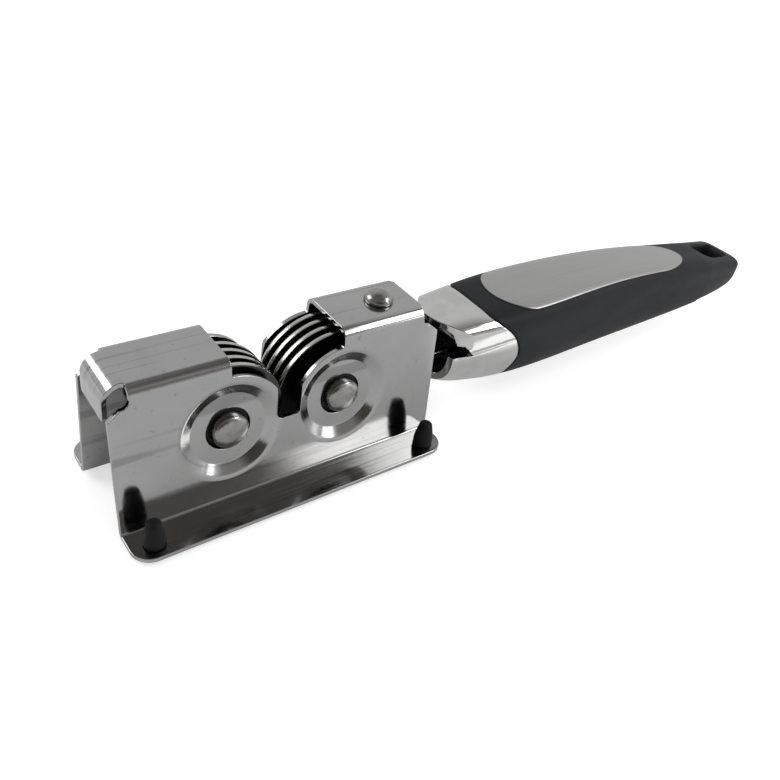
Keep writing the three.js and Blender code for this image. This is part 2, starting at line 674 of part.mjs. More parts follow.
// Soft sleeve round the core, with a recess for the inlay plate
function gripSleeve() {
  const start = NOSE + BAND_AT_TOP;
  const end = NOSE + SLEEVE_LENGTH;
  const floorDrop = INLAY_PROUD - INLAY_THICKNESS - CUT_GAP;
  const floor = handleForm(NOSE, TIP - END_ROUND, 0).translate([0, 0, floorDrop]);
  const recess = abovePlate(CUT_GAP).subtract(floor);
  const sleeve = handleForm(start, end, 0).subtract(aheadOfBand(CUT_GAP));
  return geometryOf(sleeve.subtract(handleForm(start - SKIN, end + SKIN, SKIN)).subtract(recess));
}

// Hard core inside the collar and the sleeve, with the tail that carries the hang hole
function gripCore() {
  const start = NOSE + CORE_FROM_NOSE;
  const tailStart = NOSE + SLEEVE_LENGTH + CUT_GAP;
  const inSleeve = handleForm(start, tailStart + SKIN, SKIN + CUT_GAP);
  const core = inSleeve.add(handleForm(tailStart, TIP, TAIL_STEP));
  const slotHalf = TANG_WIDTH / 2 + CUT_GAP;
  const slotDeep = TANG_THICKNESS / 2 + CUT_GAP;
  const slotLength = TANG_IN_CORE + CUT_GAP;
  const slot = new THREE.BoxGeometry(2 * slotLength, 2 * slotHalf, 2 * slotDeep);
  slot.translate(start, 0, TANG_HEIGHT);
  const holeX = NOSE + HANG_HOLE_AT;
  const hole = upZ(roundedRectangle(holeX - HANG_HOLE_LENGTH / 2, -HANG_HOLE_WIDTH / 2,
    holeX + HANG_HOLE_LENGTH / 2, HANG_HOLE_WIDTH / 2, HANG_HOLE_ROUND), -FAR, FAR);
  return geometryOf(core.subtract(solid(slot)).subtract(solid(hole)));
}

const group = new THREE.Group();
const body = new THREE.Group();
body.position.set(-OVERALL / 2, 0, PAD_HEIGHT);
group.add(body);

function place(parent, name, geometry, material, x = 0, y = 0, z = 0) {
  const mesh = new THREE.Mesh(geometry, material);
  mesh.name = name;
  mesh.position.set(x, y, z);
  parent.add(mesh);
}

// One roller: a pin, its discs and spacers, and a collar at each end that keeps the stack off the walls
function addRoller(side, axleX, stackMiddle) {
  const roller = new THREE.Group();
  roller.position.set(axleX, 0, AXLE_HEIGHT);
  body.add(roller);
  place(roller, `${side}_axle`, axle(), pinSteel);
  const bore = AXLE_RADIUS + PRESS_GAP;
  const first = stackMiddle - (DISC_PITCH * (DISC_COUNT - 1)) / 2;
  const halfDisc = DISC_THICKNESS / 2;
  for (let i = 0; i < DISC_COUNT; i += 1) {
    const y = first + i * DISC_PITCH;
    const disc = ring(bore, DISC_RADIUS, y - halfDisc, y + halfDisc, ROUND);
    place(roller, `${side}_disc_${i + 1}`, disc, steel);
    if (i + 1 < DISC_COUNT) {
      const from = y + halfDisc + PRESS_GAP;
      const to = y + DISC_PITCH - halfDisc - PRESS_GAP;
      place(roller, `${side}_spacer_${i + 1}`, ring(bore, SPACER_RADIUS, from, to, SMALL_ROUND), blackNylon);
    }
  }
  const last = first + (DISC_COUNT - 1) * DISC_PITCH;
  const frontCollar = ring(bore, COLLAR_RADIUS, -COLLAR_END, first - halfDisc - PRESS_GAP, SMALL_ROUND);
  const rearCollar = ring(bore, COLLAR_RADIUS, last + halfDisc + PRESS_GAP, COLLAR_END, SMALL_ROUND);
  place(roller, `${side}_front_collar`, frontCollar, blackNylon);
  place(roller, `${side}_rear_collar`, rearCollar, blackNylon);
  const turnedBush = bush().rotateZ(Math.PI);
  place(body, `${side}_front_bush`, turnedBush, blackNylon, axleX, 0, AXLE_HEIGHT);
  place(body, `${side}_rear_bush`, bush(), blackNylon, axleX, 0, AXLE_HEIGHT);
}

place(body, 'housing', housing(), chrome);
addRoller('left', AXLES[0], STACK_SHIFT - DISC_PITCH / 4);
addRoller('right', AXLES[1], STACK_SHIFT + DISC_PITCH / 4);
const footNames = ['front_left_foot', 'front_right_foot', 'rear_left_foot', 'rear_right_foot'];
footPlaces().forEach(([x, y], i) => place(body, footNames[i], foot(), rubber, x, y, 0));
place(body, 'tang', tang(), pinSteel);
place(body, 'tang_rivet', rivet(), pinSteel, RIVET_AT, 0, 0);
place(body, 'bolster', bolster(), brightChrome);
place(body, 'grip_core', gripCore(), hardCore);
place(body, 'grip_sleeve', gripSleeve(), softGrip);
place(body, 'inlay_plate', inlay(), brushed);

export default group;
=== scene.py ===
import math

import bmesh
import bpy
import numpy as np
from mathutils import Matrix, Quaternion, Vector
from mathutils.geometry import delaunay_2d_cdt


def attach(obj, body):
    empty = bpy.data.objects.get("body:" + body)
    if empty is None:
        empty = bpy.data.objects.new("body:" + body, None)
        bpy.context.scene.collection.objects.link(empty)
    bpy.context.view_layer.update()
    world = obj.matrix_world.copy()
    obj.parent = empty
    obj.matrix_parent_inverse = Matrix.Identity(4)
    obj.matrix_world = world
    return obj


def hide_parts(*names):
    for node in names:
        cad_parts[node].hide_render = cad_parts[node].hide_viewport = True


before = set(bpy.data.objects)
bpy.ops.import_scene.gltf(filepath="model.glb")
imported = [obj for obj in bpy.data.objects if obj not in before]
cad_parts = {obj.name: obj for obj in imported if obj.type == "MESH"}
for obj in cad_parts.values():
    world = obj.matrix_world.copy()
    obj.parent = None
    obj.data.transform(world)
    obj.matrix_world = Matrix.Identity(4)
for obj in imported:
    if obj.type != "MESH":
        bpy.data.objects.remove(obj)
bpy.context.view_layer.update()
scene = bpy.context.scene

# Sizes in millimetres, from the head's left end and the flange's underside
MM = 0.001
OVERALL = 189.7
PAD_HEIGHT = 1.2
HEAD_LENGTH = 70.0
HEAD_HEIGHT = 31.0
TOP_WIDTH = 14.0
SPLAY = math.radians(5.7)
SHEET = 1.0
TOP_BEND = 2.2
FLANGE_BEND = 0.5
FLANGE_WIDTH = 7.7
FLANGE_CORNER = 4.0
LEFT_FLAP_BEND = 3.6
RIGHT_FLAP_BEND = 1.2
FLAP_DROP = 7.3
RIGHT_FLAP_SETBACK = 2.8
RELIEF_LENGTH = 4.0
RELIEF_DEPTH = 5.6
RELIEF_ROUND = 1.8
AXLES = (22.2, 46.9)
AXLE_HEIGHT = 16.0
DISH_RADIUS = 10.9
DISH_STEEP_RADIUS = 9.6
DISH_FLOOR_RADIUS = 7.5
DISH_CORNER = 0.3
DISH_DEPTH = 1.3
HOLE_RADIUS = 4.5
SLOT_WIDTH = 5.2
SLOT_LOW = 15.5
SLOT_CORNER = 1.0
DISC_RADIUS = 12.6
LEFT_CONTOUR_MEETS = math.radians(33.6)
RIGHT_CONTOUR_MEETS = math.radians(30.4)
PLATE_OVERHANG = 0.4
EDGE_ROUND = 0.14
PRESS_GAP = 0.05
PIN_RADIUS = 3.6
PIN_PROUD = 0.85
PIN_DOME = 1.0
BORE = PIN_RADIUS + PRESS_GAP
STACK_SHIFTS = (-1.05, 0.15)
DISC_COUNT = 4
DISC_PITCH = 2.4
DISC_HALF = 0.5
SPACER_RADIUS = 7.5
COLLAR_RADIUS = 5.0
RUN_GAP = 0.15
BUSH_BORE = 3.67
BUSH_SUNK = 0.45
BUSH_PLAY = 0.12
FOOT_FROM_END = 4.4
FOOT_FROM_EDGE = 3.2
FOOT_HOLE = 2.0
TANG_START, TANG_END = 54.0, 126.6
TANG_STEP_AT = 65.5
TANG_HEIGHT = 15.5
TANG_THICK = 1.5
TANG_BEND = 1.2
TANG_HALF = 4.5
RIVET_AT = 59.0
RIVET_HOLE = 2.3
RIVET_RADIUS = 3.05
RIVET_HEIGHT = 2.1
RIVET_EDGE = 0.25
NOSE = 73.3
TIP = OVERALL
SKIN = 2.0
CUT_GAP = 0.3


def wall_face(z):
    return TOP_WIDTH / 2 + (HEAD_HEIGHT - z) * math.tan(SPLAY)


FLANGE_EDGE = wall_face(0) + FLANGE_WIDTH
FOLD = math.pi / 2 - SPLAY
TOP_FLAT = TOP_WIDTH / 2 - TOP_BEND * math.tan(FOLD / 2)
FOOT_Y = wall_face(SHEET) + FLANGE_BEND * math.tan(FOLD / 2)
FOOT_Z = SHEET + FLANGE_BEND
FLOOR_OUTSIDE = wall_face(AXLE_HEIGHT) - DISH_DEPTH / math.cos(SPLAY)
COLLAR_END = FLOOR_OUTSIDE - SHEET / math.cos(SPLAY) - COLLAR_RADIUS * math.tan(SPLAY) - RUN_GAP


def to_row(points):
    return (np.asarray(points, float) + (-OVERALL / 2, 0, PAD_HEIGHT)) * MM


# Node materials

def material(name, color, rough, metal):
    made = bpy.data.materials.new(name)
    made.use_nodes = True
    tree = made.node_tree
    shader = tree.nodes["Principled BSDF"]
    shader.inputs["Base Color"].default_value = (*color, 1)
    shader.inputs["Roughness"].default_value = rough
    shader.inputs["Metallic"].default_value = metal
    return made, tree, shader


def add_node(tree, kind, **values):
    node = tree.nodes.new(kind)
    for key, value in values.items():
        if key in node.inputs:
            node.inputs[key].default_value = value
        else:
            setattr(node, key, value)
    return node


def feed(tree, socket, source):
    """Links a socket to another node's output, or sets it to a plain value."""
    if isinstance(source, bpy.types.NodeSocket):
        tree.links.new(source, socket)
    else:
        socket.default_value = source


def calc(tree, operation, *sources):
    made = add_node(tree, "ShaderNodeMath", operation=operation)
    for socket, source in zip(made.inputs, sources):
        feed(tree, socket, source)
    return made.outputs[0]


def mix(tree, share, first, second, way="MIX"):
    made = add_node(tree, "ShaderNodeMix", data_type="RGBA", blend_type=way)
    for name, source in (("Factor", share), ("A", first), ("B", second)):
        feed(tree, made.inputs[name], source)
    return made.outputs["Result"]


def multiply(tree, first, second):
    return mix(tree, 1.0, first, second, "MULTIPLY")


def axes_of(tree, source):
    made = add_node(tree, "ShaderNodeSeparateXYZ")
    tree.links.new(source, made.inputs[0])
    return made.outputs


def dot(tree, source, way):
    made = add_node(tree, "ShaderNodeVectorMath", operation="DOT_PRODUCT")
    tree.links.new(source, made.inputs[0])
    made.inputs[1].default_value = way
    return made.outputs["Value"]


def millimetres(tree, scale):
    """Object coordinates in millimetres, stretched by a scale."""
    coords = add_node(tree, "ShaderNodeTexCoord")
    mapping = add_node(tree, "ShaderNodeMapping", Scale=tuple(1000 * s for s in scale))
    tree.links.new(coords.outputs["Object"], mapping.inputs["Vector"])
    return mapping.outputs["Vector"]


def noise(tree, scale, detail=4.0, rough=0.55):
    """Noise with one scale for all axes, or one for each."""
    made = add_node(tree, "ShaderNodeTexNoise", Scale=1, Detail=detail, Roughness=rough)
    stretch = scale if isinstance(scale, tuple) else (scale, scale, scale)
    tree.links.new(millimetres(tree, stretch), made.inputs["Vector"])
    return made.outputs["Fac"]


def ramp(tree, source, stops):
    made = add_node(tree, "ShaderNodeValToRGB")
    elements = made.color_ramp.elements
    while len(elements) < len(stops):
        elements.new(0.5)
    for element, (at, color) in zip(elements, stops):
        element.position = at
        element.color = (*color, 1) if isinstance(color, tuple) else (color, color, color, 1)
    tree.links.new(source, made.inputs["Fac"])
    return made.outputs["Color"]


def span(tree, source, low, high, from_low=0.3, from_high=0.7):
    limits = {"From Min": from_low, "From Max": from_high, "To Min": low, "To Max": high}
    made = add_node(tree, "ShaderNodeMapRange", **limits)
    tree.links.new(source, made.inputs["Value"])
    return made.outputs["Result"]


def paint(tree, shader, color, rough):
    tree.links.new(color, shader.inputs["Base Color"])
    tree.links.new(rough, shader.inputs["Roughness"])


def bump(tree, shader, height, strength, distance):
    made = add_node(tree, "ShaderNodeBump", Strength=strength, Distance=distance)
    tree.links.new(height, made.inputs["Height"])
    tree.links.new(made.outputs["Normal"], shader.inputs["Normal"])


def chrome_sheet():
    made, tree, shader = material("chrome_sheet", (0.38, 0.38, 0.38), 0.1, 1)
    tone = ramp(tree, noise(tree, 0.09, 3), [(0.3, 0.363), (0.7, (0.397, 0.397, 0.394))])
    lines = ramp(tree, noise(tree, (0.012, 1.9, 0.02), 2, 0.4), [(0.33, 0.72), (0.37, 1.0), (1.0, 1.0)])
    specks = ramp(tree, noise(tree, 0.9, 2, 0.5), [(0.27, 0.8), (0.33, 1.0), (1.0, 1.0)])
    paint(tree, shader, multiply(tree, multiply(tree, tone, lines), specks),
          span(tree, noise(tree, (0.05, 2.6, 0.5), 5), 0.08, 0.17))
    bump(tree, shader, noise(tree, (0.035, 0.05, 0.05), 1), 0.1, 0.0012)
    return made


def disc_steel():
    made, tree, shader = material("disc_steel", (0.5, 0.5, 0.49), 0.22, 1)
    fine = noise(tree, (0.4, 9.0, 0.4), 4)
    ground = ramp(tree, fine, [(0.3, (0.4, 0.4, 0.39)), (0.7, (0.58, 0.58, 0.565))])
    coords = add_node(tree, "ShaderNodeTexCoord")
    sideways = calc(tree, "ABSOLUTE", axes_of(tree, coords.outputs["Normal"])["Y"])
    dark_faces = span(tree, sideways, 1.0, 0.14, 0.6, 0.95)
    paint(tree, shader, multiply(tree, ground, dark_faces), span(tree, fine, 0.16, 0.3))
    bump(tree, shader, fine, 0.12, 0.0002)
    return made


def pin_steel():
    made, tree, shader = material("pin_steel", (0.3, 0.298, 0.29), 0.24, 1)
    mottle = noise(tree, 0.55, 5)
    tone = ramp(tree, mottle, [(0.3, (0.23, 0.227, 0.22)), (0.7, (0.36, 0.357, 0.348))])
    paint(tree, shader, tone, span(tree, mottle, 0.17, 0.33))
    bump(tree, shader, noise(tree, 0.8, 3), 0.16, 0.0003)
    return made


def plated_collar():
    made, tree, shader = material("plated_collar", (0.55, 0.55, 0.54), 0.06, 1)
    wear = noise(tree, 0.25, 5)
    tone = ramp(tree, wear, [(0.25, (0.49, 0.49, 0.48)), (0.6, (0.57, 0.57, 0.56))])
    paint(tree, shader, tone, span(tree, wear, 0.045, 0.1))
    bump(tree, shader, noise(tree, 0.08, 1), 0.06, 0.0008)
    return made


def satin_inlay():
    made, tree, shader = material("satin_inlay", (0.4, 0.4, 0.39), 0.34, 1)
    brushed = noise(tree, (0.03, 6.5, 0.8), 5, 0.65)
    tone = ramp(tree, brushed, [(0.25, (0.33, 0.33, 0.325)), (0.75, (0.46, 0.46, 0.45))])
    paint(tree, shader, tone, span(tree, brushed, 0.27, 0.42))
    bump(tree, shader, brushed, 0.12, 0.0002)
    return made


def soft_grip(name, color, rough):
    made, tree, shader = material(name, color, rough, 0)
    dust = noise(tree, (0.06, 0.14, 0.14), 6, 0.6)
    lighter = tuple(1.5 * c for c in color)
    paint(tree, shader, ramp(tree, dust, [(0.35, color), (0.8, lighter)]),
          span(tree, dust, rough - 0.06, rough + 0.1))
    bump(tree, shader, noise(tree, 3.2, 3), 0.1, 0.0003)
    shader.inputs["Specular IOR Level"].default_value = 0.17
    return made


def dark_moulding(name, color, rough, grain):
    made, tree, shader = material(name, color, rough, 0)
    cloud = noise(tree, 0.5, 4)
    lighter = tuple(1.8 * c for c in color)
    paint(tree, shader, ramp(tree, cloud, [(0.3, color), (0.75, lighter)]),
          span(tree, cloud, rough - 0.07, rough + 0.08))
    bump(tree, shader, noise(tree, grain, 3), 0.15, 0.0003)
    shader.inputs["Specular IOR Level"].default_value = 0.2
    return made


SHEET_CHROME = chrome_sheet()
DISC_STEEL = disc_steel()
PIN_STEEL = pin_steel()
COLLAR_CHROME = plated_collar()
INLAY_SATIN = satin_inlay()
GRIP_SOFT = soft_grip("soft_grip", (0.009, 0.0103, 0.0132), 0.5)
CORE_HARD = soft_grip("hard_core", (0.0115, 0.013, 0.0165), 0.46)
NYLON = dark_moulding("black_nylon", (0.003, 0.003, 0.003), 0.5, 2.0)
RUBBER = dark_moulding("foot_rubber", (0.005, 0.005, 0.0053), 0.6, 3.5)


# Pieces

def new_mesh(name, points, faces, turn_outward=True):
    mesh = bpy.data.meshes.new(name)
    mesh.from_pydata(to_row(points).tolist(), [], faces)
    if turn_outward:
        form = bmesh.new()
        form.from_mesh(mesh)
        bmesh.ops.recalc_face_normals(form, faces=form.faces)
        form.to_mesh(mesh)
        form.free()
    mesh.update()
    return mesh


def add_piece(name, points, faces, look, body, nodes, normals=None, sharp=38):
    mesh = new_mesh(name, points, faces, normals is None)
    mesh.shade_smooth()
    if normals is None:
        mesh.set_sharp_from_angle(angle=math.radians(sharp))
    else:
        mesh.normals_split_custom_set_from_vertices(normals)
    mesh.materials.append(look)
    piece = bpy.data.objects.new(name, mesh)
    scene.collection.objects.link(piece)
    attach(piece, body)
    if nodes:
        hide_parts(*nodes)
    return piece


def turned(profile, segments, closed=False):
    """Profile of (radius, along) turned about Y."""
    points = []
    rings = []
    for radius, along in profile:
        if radius < 1e-6:
            rings.append([len(points)])
            points.append((0, along, 0))
        else:
            rings.append(list(range(len(points), len(points) + segments)))
            for i in range(segments):
                angle = 2 * math.pi * i / segments
                points.append((radius * math.cos(angle), along, radius * math.sin(angle)))
    pairs = list(zip(rings, rings[1:]))
    if closed:
        pairs.append((rings[-1], rings[0]))
    faces = []
    for a, b in pairs:
        for i in range(segments):
            j = (i + 1) % segments
            corners = [a[i % len(a)], a[j % len(a)], b[j % len(b)], b[i % len(b)]]
            faces.append(list(dict.fromkeys(corners)))
    return np.array(points, float), faces


def upright(points):
    """Turns a form made about Y so that it stands along Z."""
    return np.column_stack([points[:, 0], -points[:, 2], points[:, 1]])


def bevelled_ring(inner, outer, low, high, bevel, support=0.25):
    """Closed profile of a ring with small rounds on its outer edges and flat faces kept flat."""
    half = bevel * (1 - math.sqrt(0.5))
    return [
        (inner, low), (outer - bevel - support, low), (outer - bevel, low), (outer - half, low + half),
        (outer, low + bevel), (outer, high - bevel), (outer - half, high - half), (outer - bevel, high),
        (outer - bevel - support, high), (inner, high),
    ]


def rounded_path(path):
    """Closed outline whose corners (x, s, radius) are rounded where they have a radius."""
    made = []
    count = len(path)
    for i, (x, s, radius) in enumerate(path):
        here = np.array((x, s), float)
        if radius <= 0:
            made.append(here)
            continue
        before = np.array(path[i - 1][:2], float) - here
        after = np.array(path[(i + 1) % count][:2], float) - here
        long_before, long_after = np.linalg.norm(before), np.linalg.norm(after)
        before, after = before / long_before, after / long_after
        half = math.acos(max(-1, min(1, float(before @ after)))) / 2
        reach = min(radius / math.tan(half), 0.85 * long_before, 0.85 * long_after)
        middle = (before + after) / np.linalg.norm(before + after)
        centre = here + middle * reach / math.cos(half)
        start, end = here + before * reach - centre, here + after * reach - centre
        sweep = math.pi - 2 * half
        steps = max(4, math.ceil(sweep * reach * 3))
        for k in range(steps + 1):
            t = sweep * k / steps
            made.append(centre + (start * math.sin(sweep - t) + end * math.sin(t)) / math.sin(sweep))
    return np.array(made)


def shifted(outline, distance):
    """Closed outline moved to its left by a distance."""
    ahead = np.roll(outline, -1, axis=0) - outline
    ahead /= np.linalg.norm(ahead, axis=1)[:, None]
    left = np.column_stack([-ahead[:, 1], ahead[:, 0]])
    joint = left + np.roll(left, 1, axis=0)
    joint /= np.linalg.norm(joint, axis=1)[:, None]
    stretch = np.clip((joint * left).sum(axis=1), 0.5, 1)
    return outline + joint * (distance / stretch)[:, None]


def inside(outline, points):
    x, y = points[:, 0], points[:, 1]
    found = np.zeros(len(points), bool)
    for (x0, y0), (x1, y1) in zip(outline, np.roll(outline, -1, axis=0)):
        if y0 == y1:
            continue
        crosses = (y0 > y) != (y1 > y)
        found ^= crosses & (x < (x1 - x0) * (y - y0) / (y1 - y0) + x0)
    return found


def wound(outline, way):
    """Closed outline that runs anticlockwise where way is 1 and clockwise where it is -1."""
    x, y = outline.T
    area = float((x * np.roll(y, -1) - np.roll(x, -1) * y).sum())
    return outline if way * area > 0 else outline[::-1]


def skinned(rows, closed):
    """Faces over rows with the same number of places, joined end to end where closed."""
    count = len(rows[0])
    pairs = [(r, r + 1) for r in range(len(rows) - 1)]
    if closed:
        pairs.append((len(rows) - 1, 0))
    faces = []
    for a, b in pairs:
        for i in range(count):
            j = (i + 1) % count
            faces.append([a * count + i, a * count + j, b * count + j, b * count + i])
    return np.vstack(rows), faces


def caps(rows):
    """Faces that close the first and the last row."""
    count = len(rows[0])
    total = count * len(rows)
    return [list(range(count)), list(range(total - count, total))]


# Head: one folded sheet, laid out flat in (x, s), where s runs round the outside from the middle of the top

WALL_START = (TOP_FLAT + TOP_BEND * math.cos(SPLAY), HEAD_HEIGHT - TOP_BEND + TOP_BEND * math.sin(SPLAY))
WALL_END = (FOOT_Y - FLANGE_BEND * math.cos(SPLAY), FOOT_Z - FLANGE_BEND * math.sin(SPLAY))
WALL_LENGTH = math.hypot(WALL_END[0] - WALL_START[0], WALL_END[1] - WALL_START[1])
BEND_END = TOP_FLAT + TOP_BEND * FOLD
WALL_LOW = BEND_END + WALL_LENGTH
FLANGE_START = WALL_LOW + FLANGE_BEND * FOLD
SHEET_EDGE = FLANGE_START + FLANGE_EDGE - FOOT_Y
LEFT_END = LEFT_FLAP_BEND - LEFT_FLAP_BEND * math.pi / 2 - (FLAP_DROP - LEFT_FLAP_BEND)
RIGHT_BEND_AT = HEAD_LENGTH - RIGHT_FLAP_SETBACK - RIGHT_FLAP_BEND
RIGHT_END = RIGHT_BEND_AT + RIGHT_FLAP_BEND * math.pi / 2 + FLAP_DROP - RIGHT_FLAP_BEND


def down_wall(z):
    return BEND_END + (WALL_START[1] - z) / math.cos(SPLAY)


AXLE_S = down_wall(AXLE_HEIGHT)


def dish_depth(r):
    """Depth of a pressed dish at a radius, and its slope, which is even but for rounds at both ends."""
    ends = [0, DISH_FLOOR_RADIUS, DISH_FLOOR_RADIUS + DISH_CORNER, DISH_STEEP_RADIUS, DISH_RADIUS]
    steep = 2 * DISH_DEPTH / (DISH_RADIUS + DISH_STEEP_RADIUS - 2 * DISH_FLOOR_RADIUS - DISH_CORNER)
    grid = np.linspace(0, DISH_RADIUS, 2001)
    slopes = np.interp(grid, ends, [0, 0, steep, steep, 0])
    height = np.concatenate([[0], np.cumsum((slopes[1:] + slopes[:-1]) / 2 * np.diff(grid))])
    return height[-1] - np.interp(r, grid, height), np.interp(r, ends, [0, 0, steep, steep, 0])


def fold(flat):
    """Places on the folded sheet's outside, with normals and the two directions along it."""
    x, s = flat[:, 0], flat[:, 1]
    side = np.where(s < 0, -1.0, 1.0)
    run = np.abs(s)
    y, z = run.copy(), np.full(len(run), HEAD_HEIGHT)
    ny, nz = np.zeros(len(run)), np.ones(len(run))
    bend = (run > TOP_FLAT) & (run <= BEND_END)
    angle = math.pi / 2 - (run - TOP_FLAT) / TOP_BEND
    y = np.where(bend, TOP_FLAT + TOP_BEND * np.cos(angle), y)
    z = np.where(bend, HEAD_HEIGHT - TOP_BEND + TOP_BEND * np.sin(angle), z)
    ny, nz = np.where(bend, np.cos(angle), ny), np.where(bend, np.sin(angle), nz)
    wall = (run > BEND_END) & (run <= WALL_LOW)
    y = np.where(wall, WALL_START[0] + (run - BEND_END) * math.sin(SPLAY), y)
    z = np.where(wall, WALL_START[1] - (run - BEND_END) * math.cos(SPLAY), z)
    ny, nz = np.where(wall, math.cos(SPLAY), ny), np.where(wall, math.sin(SPLAY), nz)
    foot = (run > WALL_LOW) & (run <= FLANGE_START)
    angle = SPLAY + math.pi + (run - WALL_LOW) / FLANGE_BEND
    y = np.where(foot, FOOT_Y + FLANGE_BEND * np.cos(angle), y)
    z = np.where(foot, FOOT_Z + FLANGE_BEND * np.sin(angle), z)
    ny, nz = np.where(foot, -np.cos(angle), ny), np.where(foot, -np.sin(angle), nz)
    flange = run > FLANGE_START
    y = np.where(flange, FOOT_Y + run - FLANGE_START, y)
    z = np.where(flange, SHEET, z)
    ny, nz = np.where(flange, 0.0, ny), np.where(flange, 1.0, nz)
    zero = np.zeros(len(run))
    place = np.column_stack([x, side * y, z])
    normal = np.column_stack([zero, side * ny, nz])
    along = np.column_stack([zero + 1, zero, zero])
    top = run <= TOP_FLAT + 1e-4
    for start, radius, way in ((LEFT_FLAP_BEND, LEFT_FLAP_BEND, -1.0), (RIGHT_BEND_AT, RIGHT_FLAP_BEND, 1.0)):
        past = np.maximum((x - start) * way, 0)
        turn = np.minimum(past / radius, math.pi / 2)
        straight = np.maximum(past - radius * math.pi / 2, 0)
        bent = top & (past > 0)
        place[:, 0] = np.where(bent, start + way * radius * np.sin(turn), place[:, 0])
        place[:, 2] = np.where(bent, HEAD_HEIGHT - radius * (1 - np.cos(turn)) - straight, place[:, 2])
        normal[:, 0] = np.where(bent, way * np.sin(turn), normal[:, 0])
        normal[:, 2] = np.where(bent, np.cos(turn), normal[:, 2])
        along[:, 0] = np.where(bent, np.cos(turn), along[:, 0])
        along[:, 2] = np.where(bent, -way * np.sin(turn), along[:, 2])
    across = np.cross(normal, along)
    for axle in AXLES:
        out = np.column_stack([x - axle, s - side * AXLE_S])
        r = np.hypot(out[:, 0], out[:, 1])
        depth, rise = dish_depth(r)
        radial = (along * out[:, :1] + across * out[:, 1:]) / np.maximum(r, 1e-6)[:, None]
        place = place - normal * depth[:, None]
        normal = normal - radial * rise[:, None]
        normal = normal / np.linalg.norm(normal, axis=1)[:, None]
    return place, normal, along, across


def half_edge():
    """Outer edge of the laid-out sheet on one side, from the left flap to the right flap."""
    low, mid = (down_wall(HEAD_HEIGHT - RELIEF_DEPTH + k * RELIEF_ROUND) for k in range(2))
    inner, shoulder = RELIEF_LENGTH, RELIEF_LENGTH - RELIEF_ROUND
    left = [(LEFT_END, TOP_FLAT, 0.8), (inner, TOP_FLAT, 0.5), (inner, mid, 1.5),
            (shoulder, mid, 0.6), (0, low, 0.7), (0, SHEET_EDGE, FLANGE_CORNER)]
    right = [(HEAD_LENGTH - x, s, r) for x, s, r in reversed(left[1:])]
    return left + right + [(RIGHT_END, TOP_FLAT, 0.8)]


def contour_edge(meets):
    """Edge of the sheet round an axle, from the top plate to the bottom of the slot, with x from the axle."""
    reach = (AXLES[1] - AXLES[0]) / 2 - SLOT_WIDTH / 2
    radius = reach / math.cos(meets)
    plate = math.acos(PLATE_OVERHANG / radius)
    made = [(PLATE_OVERHANG, down_wall(AXLE_HEIGHT + radius * math.sin(plate)) + 0.05, 0.5)]
    for k in range(1, 16):
        angle = plate + (meets - plate) * k / 15.4
        made.append((radius * math.cos(angle), down_wall(AXLE_HEIGHT + radius * math.sin(angle)), 0))
    made.append((reach, down_wall(AXLE_HEIGHT + radius * math.sin(meets)) + 0.5, 0.8))
    return made + [(reach, down_wall(SLOT_LOW), SLOT_CORNER)]


def slot_edge():
    """Edge of the knife slot on one side, from the left top plate to the right one."""
    left = [(AXLES[0] + x, s, r) for x, s, r in contour_edge(LEFT_CONTOUR_MEETS)]
    right = [(AXLES[1] - x, s, r) for x, s, r in reversed(contour_edge(RIGHT_CONTOUR_MEETS))]
    return left + right


def circle(x, s, radius, segments):
    angles = np.linspace(0, 2 * math.pi, segments, endpoint=False)
    return np.column_stack([x + radius * np.cos(angles), s + radius * np.sin(angles)])


def both_sides(edge):
    return rounded_path(edge + [(x, -s, r) for x, s, r in reversed(edge)])


